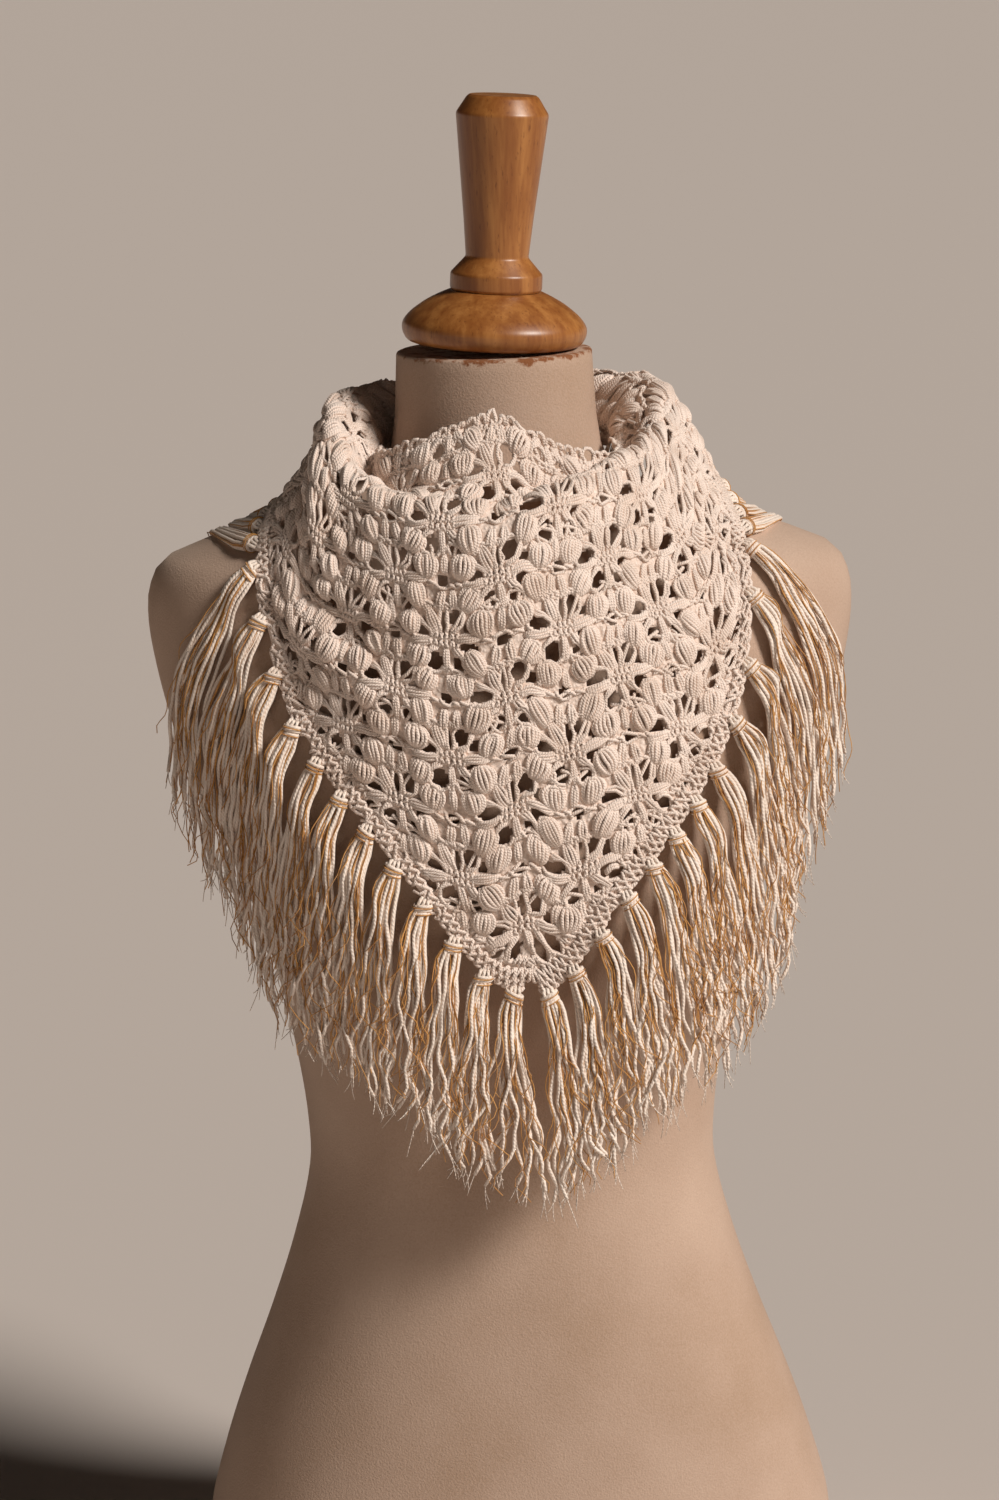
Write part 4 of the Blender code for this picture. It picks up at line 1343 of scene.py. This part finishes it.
# The camera stands this far from the place that it aims at, where a pixel of the photograph
# is 0.573 mm, and it looks down and leans a little
CAMERA_REACH = 2.5
PIXEL = 0.000573
SENSOR = 36.0
AIM = Vector((-0.002, 0.0, 0.5147))
CAMERA_PITCH = math.radians(12.0)
CAMERA_ROLL = math.radians(-1.3)


class StageSettings(bpy.types.PropertyGroup):
    """The stage's sizes and colours."""

    floor_colour: bpy.props.StringProperty(
        name="Floor", description="The floor's colour as sRGB hex", default="#D3C8C0"
    )
    floor_size: bpy.props.FloatProperty(
        name="Floor size",
        description="Distance across the level part of the floor",
        default=90.0,
        min=1.0,
        unit="LENGTH",
    )
    key_strength: bpy.props.FloatProperty(
        name="Key light", description="Strength of the key light", default=3.45, min=0.0
    )
    key_colour: bpy.props.StringProperty(
        name="Key colour", description="The key light's colour as sRGB hex", default="#FFF9F2"
    )
    fill_strength: bpy.props.FloatProperty(
        name="Fill", description="Strength of the soft light all round", default=0.02, min=0.0
    )
    fill_colour: bpy.props.StringProperty(
        name="Fill colour", description="The soft light's colour as sRGB hex", default="#F0E4DA"
    )


# The soft rim of the form's neck: how far each ring lies below the top, and is drawn in
NECK_RIM = ((0.0016, 0.0), (0.0006, 0.0004), (0.0, 0.0018))
# The form's rings are raised at this radius before they get their own section
FIRST_RADIUS = 0.1


class CoverSettings(bpy.types.PropertyGroup):
    """The dress form's sizes."""

    facets: bpy.props.IntProperty(
        name="Facets round", description="Faces round the form", default=96, min=24
    )
    ring_spacing: bpy.props.FloatProperty(
        name="Ring spacing",
        description="Height between the form's rings",
        default=0.0075,
        min=0.002,
        unit="LENGTH",
    )


# Rows of V stitches in millimetres: how deep they lie under the long edge, how much of that
# edge they fill, and how far inside each short side they lie
LONG_EDGE_ROWS = (2.4, 5.8, 9.0)
LONG_EDGE_RUN = 600
SHORT_SIDE_ROWS = (2.4, 5.6)
SHORT_SIDE = DEPTH / MM * math.sqrt(2.0)
ROW_LIFT = 1.4
# Small loops stand on the long edge: half their width at the foot and at the head, the lift
# of both, and the least and greatest height of the head, in millimetres
LONG_EDGE_LOOPS = 92
LOOP_HALVES = (2.7, 1.9)
LOOP_LIFTS = (1.6, 2.6)
LOOP_HEIGHTS = (0.6, 2.2)
# The yarn of the edges' loops lies this much fuller than that of the stitches
LOOP_FULLNESS = 1.1
# The edging in millimetres: full strands under its stitches, by how far out they lie and how
# far they stray, its two rows of stitches, and a stitch's width, height and lift
EDGING_CORES = (0.6, 2.8, 5.0)
CORE_STRAY = 0.3
CORE_LIFT = 1.1
CORE_RADIUS = 1.5
EDGING_ROWS = (1.0, 4.8)
EDGING_SPACING = 4.9
EDGING_STITCH = (5.6, 6.0, 2.5)
# A loop of the edging's outer edge: places along, out and lift in millimetres
EDGING_LOOP_SPACING = 4.8
EDGING_LOOP = ((-2.3, 6.0, 1.4), (-1.3, 7.7, 2.3), (1.3, 7.8, 2.5), (2.4, 5.9, 1.3))


class CrochetSettings(bpy.types.PropertyGroup):
    """The crochet's sizes and colours."""

    yarn: bpy.props.FloatProperty(
        name="Yarn", description="The yarn's diameter in millimetres", default=2.2, min=0.5
    )
    wall: bpy.props.FloatProperty(
        name="Ground",
        description="Thickness of the ground between the raised stitches",
        default=0.0009,
        min=0.0002,
        unit="LENGTH",
    )
    light: bpy.props.StringProperty(
        name="Light cotton", description="The yarn's lighter colour", default="#F8E6DA"
    )
    # The darker colour is also the painted shade in the yarn's ply grooves and in the ground's pits
    dark: bpy.props.StringProperty(
        name="Dark cotton", description="The yarn's darker colour", default="#E0C9B9"
    )
    seed: bpy.props.IntProperty(
        name="Seed", description="Chooses the stitches' small differences", default=11
    )


# A tassel's strands lie in layers over each other, and each ends at its own share of the
# tassel's length
STRAND_LAYERS = 3
LAYER_STEP, LAYER_PLAY = 0.0014, 0.0008
STRAND_ENDS = (0.86, 1.02)
STRAND_WANDER = 0.0028
# Two plies part at each strand's end: how far they run on, bend and spread, and their radius
PARTED_PLIES = 2
PARTED_RUN = (0.006, 0.014)
PARTED_BEND, PARTED_SPREAD = 0.0012, 0.0040
PARTED_RADIUS = 0.00036
# The threads lie over the strands, end more unevenly, and a few of them stray far
THREAD_LAYER, THREAD_PLAY = 0.0022, 0.0020
THREAD_ENDS = (0.72, 1.05)
THREAD_WANDERS = (0.0024, 0.0034, 0.0072)
# The knot's turns of strand, by how far along the tassel they lie, and half their size
# across and through; the threads' wrap round them is a little larger and lies at a slant
KNOT_TURNS = (-0.0016, 0.0006, 0.0027)
KNOT_LIFT = 0.0006
KNOT_ACROSS, KNOT_THROUGH = 0.0042, 0.0031
WRAP_ACROSS, WRAP_THROUGH = 0.0055, 0.0046
WRAP_SLANT = 0.0052
TURN_STATIONS = 15
# Loops of strand hitch the knot into the edging: their shifts aside, and for each station
# its share of that shift, how far along the tassel it lies, and how far out
HITCH_SHIFTS = (-0.0022, 0.0002, 0.0024)
HITCH = (
    (1.0, 0.0004, 0.0022),
    (1.1, -0.0022, 0.0030),
    (0.9, -0.0046, 0.0018),
    (0.7, -0.0060, -0.0006),
)


class TasselSettings(bpy.types.PropertyGroup):
    """The tassels' sizes and colours."""

    strands: bpy.props.IntProperty(
        name="Strands", description="Cotton strands in a tassel", default=11, min=1
    )
    threads: bpy.props.IntProperty(
        name="Threads", description="Fine coloured threads in a tassel", default=13, min=0
    )
    strand: bpy.props.FloatProperty(
        name="Strand", description="A strand's diameter in millimetres", default=2.6, min=0.3
    )
    thread: bpy.props.FloatProperty(
        name="Thread", description="A thread's diameter in millimetres", default=0.75, min=0.1
    )
    light: bpy.props.StringProperty(
        name="Light cotton", description="The strands' lighter colour", default="#FBECDF"
    )
    # The strands' darker colour is also the painted shade in their ply grooves
    dark: bpy.props.StringProperty(
        name="Dark cotton", description="The strands' darker colour", default="#EDD8C7"
    )
    thread_light: bpy.props.StringProperty(
        name="Light thread", description="The thread's lighter colour", default="#D8A05A"
    )
    # The threads' darker colour is also the painted shade in their ply grooves
    thread_dark: bpy.props.StringProperty(
        name="Dark thread", description="The thread's darker colour", default="#AE7034"
    )
    seed: bpy.props.IntProperty(
        name="Seed", description="Chooses the strands' small differences", default=23
    )


DRAPES = []


def drape():
    """The drape, worked out once."""
    if not DRAPES:
        DRAPES.append(Drape())
    return DRAPES[0]


class BANDANA_OT_stage(bpy.types.Operator):
    """Sets the floor, the lights and the camera"""

    bl_idname = "bandana.stage"
    bl_label = "Set the stage"

    def execute(self, context):
        sizes = context.scene.bandana_stage
        # The floor reaches so far back that it fills the picture behind the form, and beyond
        # that it rises gently, so that low views don't look past it into the dark
        reach = sizes.floor_size / 2
        rings = [(reach, 0.0), (reach * FLOOR_SPREAD, reach * FLOOR_RISE)]
        floor = raised_by_rings("floor", FLOOR_SIDES, rings)
        lid = max(floor.data.polygons, key=lambda face: face.center.z)
        select_faces(floor, [lid.index])
        bpy.ops.object.mode_set(mode="EDIT")
        bpy.ops.mesh.delete(type="ONLY_FACE")
        bpy.ops.object.mode_set(mode="OBJECT")
        floor.data.materials.append(trowelled_plaster("matt_plaster", sizes.floor_colour))

        # A large lamp far to the right, as good as parallel, with soft-edged shadows
        light = bpy.data.lights.new("key", "SUN")
        light.energy = sizes.key_strength
        light.color = linear(sizes.key_colour)[:3]
        light.angle = KEY_WIDTH
        key = bpy.data.objects.new("key", light)
        level = Vector((math.sin(KEY_TURN), -math.cos(KEY_TURN), 0.0))
        towards = level * math.cos(KEY_RISE) + Vector((0.0, 0.0, math.sin(KEY_RISE)))
        key.rotation_euler = (-towards).to_track_quat("-Z", "Y").to_euler()
        context.scene.collection.objects.link(key)

        world = context.scene.world or bpy.data.worlds.new("studio")
        context.scene.world = world
        world.use_nodes = True
        back = world.node_tree.nodes["Background"]
        back.inputs["Color"].default_value = linear(sizes.fill_colour)
        back.inputs["Strength"].default_value = sizes.fill_strength

        lens = bpy.data.cameras.new("camera")
        lens.sensor_width = SENSOR
        lens.lens = CAMERA_REACH / PIXEL * SENSOR / PHOTO_SIZE[1]
        camera = bpy.data.objects.new("camera", lens)
        forward = Vector((0.0, math.cos(CAMERA_PITCH), -math.sin(CAMERA_PITCH)))
        level = Vector((1.0, 0.0, 0.0))
        upright = level.cross(forward)
        right = level * math.cos(CAMERA_ROLL) + upright * math.sin(CAMERA_ROLL)
        up = upright * math.cos(CAMERA_ROLL) - level * math.sin(CAMERA_ROLL)
        pose = Matrix((right, up, -forward)).transposed().to_4x4()
        pose.translation = AIM - forward * CAMERA_REACH
        camera.matrix_world = pose
        context.scene.collection.objects.link(camera)
        context.scene.camera = camera
        context.scene.view_settings.view_transform = "Standard"
        return {"FINISHED"}


class BANDANA_OT_dress_form(bpy.types.Operator):
    """Raises the dress form's padded shell and covers it with flock"""

    bl_idname = "bandana.dress_form"
    bl_label = "Dress form"

    def execute(self, context):
        sizes = context.scene.bandana_cover
        count = int(NECK_TOP / sizes.ring_spacing)
        heights = [NECK_TOP * k / count for k in range(count)]
        heights += [NECK_TOP - drop for drop, _ in NECK_RIM]
        drawn_in = [0.0] * count + [inset for _, inset in NECK_RIM]
        rings = [(FIRST_RADIUS, z) for z in heights]
        piece = raised_by_rings("form_cover", sizes.facets, rings)
        # Each ring is set to the form's own section, and the top ones are drawn in
        for vertex in piece.data.vertices:
            ring = int(np.argmin([abs(vertex.co.z - z) for z in heights]))
            half_width, front, back, power = form_section(heights[ring])
            angle = math.atan2(vertex.co.x, -vertex.co.y)
            s, c = math.sin(angle), math.cos(angle)
            less = drawn_in[ring]
            vertex.co.x = (half_width - less) * math.copysign(abs(s) ** (2 / power), s)
            depth = (front if c > 0 else back) - less
            vertex.co.y = -depth * math.copysign(abs(c) ** (2 / power), c)
        piece.data.update()
        context.view_layer.objects.active = piece
        piece.select_set(True)
        bpy.ops.object.shade_smooth_by_angle(angle=math.radians(45))
        finished(piece, flocked_cover("flocked_cotton_cover"), "dress_form", slot="form_cover")
        return {"FINISHED"}


class BANDANA_OT_wood(bpy.types.Operator):
    """Turns the neck cap and the handle"""

    bl_idname = "bandana.wood"
    bl_label = "Turned wood"

    def execute(self, context):
        wood = varnished_beech("varnished_beech")
        foot = Vector((0.0, 0.0, NECK_TOP + WOOD_SEAT))
        cap = turned_piece("turned_cap", CAP_PROFILE, foot)
        finished(cap, wood, "neck_cap", slot="turned_wood")
        top = foot + wood_axis() * (CAP_HEIGHT + FACE_GAP)
        handle = turned_piece("turned_handle", HANDLE_PROFILE, top)
        finished(handle, wood, "handle", slot="turned_wood")
        return {"FINISHED"}


class BANDANA_OT_crochet(bpy.types.Operator):
    """Works the triangle of puffs, petals and legs in cotton yarn"""

    bl_idname = "bandana.crochet"
    bl_label = "Crochet"

    def execute(self, context):
        sizes = context.scene.bandana_crochet
        work = Stitches(drape(), sizes, sizes.seed)
        petals, stitches, raised, rows = Yarn(), Yarn(), Yarn(), Yarn()
        for centre in work.centres:
            work.flower(petals, stitches, raised, centre)
        # Rows of V stitches finish the long edge
        for row, depth in enumerate(LONG_EDGE_ROWS):
            count = int(LONG_EDGE_RUN / V_SPACING)
            for k in range(count):
                across = LONG_EDGE_RUN * ((k + 0.5 * (row + 1)) / count - 0.5)
                work.vee(rows, (across, depth), lift=ROW_LIFT)
        # Small loops stand on the long edge's first row
        foot, head = LOOP_HALVES
        for k in range(LONG_EDGE_LOOPS):
            across = LONG_EDGE_RUN * ((k + 0.5) / LONG_EDGE_LOOPS - 0.5)
            tall = work.chance.uniform(*LOOP_HEIGHTS)
            loop = [
                (across - foot, LONG_EDGE_ROWS[0], LOOP_LIFTS[0]),
                (across - head, -tall, LOOP_LIFTS[1]),
                (across + head, -tall, LOOP_LIFTS[1]),
                (across + foot, LONG_EDGE_ROWS[0], LOOP_LIFTS[0]),
            ]
            work.draw(rows, np.array(loop), work.radius * LOOP_FULLNESS, 7, 5, False)
        # More rows of V stitches lie just inside each short side
        for side in (-1, 1):
            count = int(SHORT_SIDE / V_SPACING)
            for row, inside in enumerate(SHORT_SIDE_ROWS):
                for k in range(count):
                    along = SHORT_SIDE * (k + 0.5 * (row + 1)) / count
                    spot = hem_flat(side, along, -inside)
                    work.vee(rows, spot, 180 + side * 45, lift=ROW_LIFT)
        cotton = cotton_yarn("ecru_cotton_yarn", sizes.light, sizes.dark)
        cloth = new_piece("crochet_ground", work.ground("crochet_ground"))
        wall = cloth.modifiers.new("wall", "SOLIDIFY")
        wall.thickness = sizes.wall
        wall.offset = 0.0
        select_none()
        context.view_layer.objects.active = cloth
        cloth.select_set(True)
        bpy.ops.object.modifier_apply(modifier=wall.name)
        finished(
            cloth,
            worked_ground("ecru_cotton_ground", sizes.light, sizes.dark),
            "cloth_front",
            "cloth_wrap_left",
            "cloth_wrap_right",
            "cloth_end_left",
            "cloth_end_right",
            slot="crochet",
        )
        for name, yarn in (
            ("crochet_petals", petals),
            ("crochet_stitches", stitches),
            ("crochet_puffs", raised),
            ("crochet_rows", rows),
        ):
            finished(new_piece(name, yarn.mesh(name)), cotton, slot="crochet")
        context.scene["bandana_cloth"] = cloth.name
        return {"FINISHED"}


class BANDANA_OT_edging(bpy.types.Operator):
    """Works the plain edging along both short sides"""

    bl_idname = "bandana.edging"
    bl_label = "Edging"

    def execute(self, context):
        sizes = context.scene.bandana_crochet
        work = Stitches(drape(), sizes, sizes.seed + 1)
        yarn = Yarn()
        for side in (-1, 1):
            # Full strands lie under the stitches, so that the edging has no gaps
            for middle in EDGING_CORES:
                core = []
                for along in np.linspace(1.0, SHORT_SIDE - 1.0, 90):
                    out = middle + work.chance.uniform(-CORE_STRAY, CORE_STRAY)
                    core.append((*hem_flat(side, along, out), CORE_LIFT))
                yarn.add(work.drape.lay(curved(core, 150)), CORE_RADIUS * MM, 5)
            for row, out in enumerate(EDGING_ROWS):
                count = int(SHORT_SIDE / EDGING_SPACING)
                for k in range(count):
                    along = SHORT_SIDE * (k + 0.5 * (row + 1)) / count
                    spot = hem_flat(side, along, out)
                    work.vee(yarn, spot, 180 + side * 45, *EDGING_STITCH, within=False)
            # Small loops stand along the outer edge
            count = int(SHORT_SIDE / EDGING_LOOP_SPACING)
            for k in range(count):
                middle = SHORT_SIDE * (k + 0.5) / count
                flat = [
                    (*hem_flat(side, middle + along, out), lift)
                    for along, out, lift in EDGING_LOOP
                ]
                work.draw(yarn, np.array(flat), work.radius * LOOP_FULLNESS, 6, 5, False)
        cotton = cotton_yarn("ecru_cotton_edging_yarn", sizes.light, sizes.dark)
        finished(
            new_piece("crochet_edging", yarn.mesh("crochet_edging")),
            cotton,
            "edging_left",
            "edging_right",
            slot="crochet",
        )
        return {"FINISHED"}


class BANDANA_OT_tassels(bpy.types.Operator):
    """Knots the tassels of cotton strands and rust threads into the edging"""

    bl_idname = "bandana.tassels"
    bl_label = "Tassels"

    def execute(self, context):
        sizes = context.scene.bandana_tassels
        chance = random.Random(sizes.seed)
        strands, threads, knots = Yarn(), Yarn(), Yarn()
        for side in (-1, 1):
            for number in range(TASSELS_A_SIDE):
                tassel = Tassel(drape(), side, number)
                self.fill(tassel, chance, sizes, strands, threads)
                self.knot(tassel, chance, sizes, knots, threads)
        names = [
            f"tassel_{word}_{number + 1:02d}"
            for word in ("left", "right")
            for number in range(TASSELS_A_SIDE)
        ]
        cotton = cotton_yarn("loose_cotton_strands", sizes.light, sizes.dark, 4.5, 0.26)
        rust = cotton_yarn(
            "rust_cotton_thread", sizes.thread_light, sizes.thread_dark, 1.6, 0.08
        )
        pieces = [
            finished(
                new_piece("tassel_strands", strands.mesh("tassel_strands")),
                cotton,
                *names,
                slot="fringe",
            ),
            finished(new_piece("tassel_threads", threads.mesh("tassel_threads")), rust, slot="fringe"),
            finished(new_piece("tassel_knots", knots.mesh("tassel_knots")), cotton, slot="fringe"),
        ]
        return {"FINISHED"}

    def fill(self, tassel, chance, sizes, strands, threads):
        """The tassel's cotton strands, their parted ends and its fine threads."""
        for k in range(sizes.strands):
            across = -1 + 2 * (k + 0.5) / sizes.strands + chance.uniform(-0.15, 0.15)
            layer = (k % STRAND_LAYERS) * LAYER_STEP + chance.uniform(0, LAYER_PLAY)
            length = tassel.length * chance.uniform(*STRAND_ENDS)
            line = strand_line(tassel, chance, across, layer, length, STRAND_WANDER)
            strands.add(line, sizes.strand / 2 * MM, 4, 0.82)
            tip, along = line[-1], line[-1] - line[-3]
            along = along / np.linalg.norm(along)
            for _ in range(PARTED_PLIES):
                side = np.array([chance.uniform(-1, 1) for _ in range(3)])
                run = chance.uniform(*PARTED_RUN)
                bend = tip + along * run * 0.5 + side * PARTED_BEND
                end = tip + along * run + side * PARTED_SPREAD
                strands.add(curved([line[-2], tip, bend, end], 6), PARTED_RADIUS, 3, 0.6)
        for _ in range(sizes.threads):
            across = chance.uniform(-1, 1)
            layer = THREAD_LAYER + chance.uniform(0, THREAD_PLAY)
            length = tassel.length * chance.uniform(*THREAD_ENDS)
            wander = chance.choice(THREAD_WANDERS)
            line = strand_line(tassel, chance, across, layer, length, wander)
            threads.add(line, sizes.thread / 2 * MM, 3, 0.8)

    def knot(self, tassel, chance, sizes, knots, threads):
        """The turns and loops of strand that hold the tassel to the edging, and their wrap."""
        out, normal = np.array(tassel.lead), np.array(tassel.normal)
        middle = np.array(tassel.knot) + normal * KNOT_LIFT
        side = np.cross(out, normal)
        slant = chance.uniform(-0.30, 0.30)
        turn = np.linspace(0, 2 * math.pi, TURN_STATIONS)

        def ring(angles, shift, across, through, rise):
            return [
                middle
                + out * (shift + rise * math.cos(a))
                + side * across * math.cos(a)
                + normal * through * math.sin(a)
                for a in angles
            ]

        for shift in KNOT_TURNS:
            start = chance.uniform(0, 1)
            wide = KNOT_ACROSS + chance.uniform(-0.0003, 0.0004)
            tilt = slant + chance.uniform(-0.10, 0.10)
            line = ring(turn + start, shift, wide, KNOT_THROUGH, tilt * wide)
            knots.add(line, sizes.strand / 2 * MM * 0.92, 5)
        for shift in (chance.uniform(-0.0008, 0.0), chance.uniform(0.0014, 0.0036)):
            line = ring(turn, shift, WRAP_ACROSS, WRAP_THROUGH, slant * WRAP_SLANT)
            threads.add(line, sizes.thread / 2 * MM, 3)
        centre = np.array(tassel.knot)
        for shift in HITCH_SHIFTS:
            loop = [
                centre + side * shift * share + out * along + normal * lift
                for share, along, lift in HITCH
            ]
            knots.add(curved(loop, 6), sizes.strand / 2 * MM * 0.9, 4)


class BANDANA_PT_panel(bpy.types.Panel):
    """Lists the steps that dress the frame"""

    bl_idname = "BANDANA_PT_panel"
    bl_label = "Fringed bandana"
    bl_space_type = "VIEW_3D"
    bl_region_type = "UI"
    bl_category = "Bandana"

    def draw(self, context):
        for step in STEPS:
            self.layout.operator(step.bl_idname)
        for group in (
            context.scene.bandana_stage,
            context.scene.bandana_cover,
            context.scene.bandana_crochet,
            context.scene.bandana_tassels,
        ):
            box = self.layout.box()
            for name in group.__annotations__:
                box.prop(group, name)


STEPS = (
    BANDANA_OT_stage,
    BANDANA_OT_dress_form,
    BANDANA_OT_wood,
    BANDANA_OT_crochet,
    BANDANA_OT_edging,
    BANDANA_OT_tassels,
)
SETTINGS = (
    ("bandana_stage", StageSettings),
    ("bandana_cover", CoverSettings),
    ("bandana_crochet", CrochetSettings),
    ("bandana_tassels", TasselSettings),
)


def register():
    """Registers the settings, the steps and the panel."""
    for name, group in SETTINGS:
        bpy.utils.register_class(group)
        setattr(bpy.types.Scene, name, bpy.props.PointerProperty(type=group))
    for step in (*STEPS, BANDANA_PT_panel):
        bpy.utils.register_class(step)


def unregister():
    """Takes back what register added."""
    for step in reversed((*STEPS, BANDANA_PT_panel)):
        bpy.utils.unregister_class(step)
    for name, group in reversed(SETTINGS):
        delattr(bpy.types.Scene, name)
        bpy.utils.unregister_class(group)


def main():
    """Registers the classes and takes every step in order."""
    register()
    bpy.ops.bandana.stage()
    bpy.ops.bandana.dress_form()
    bpy.ops.bandana.wood()
    bpy.ops.bandana.crochet()
    bpy.ops.bandana.edging()
    bpy.ops.bandana.tassels()
    bpy.context.view_layer.update()


if __name__ == "__main__":
    main()
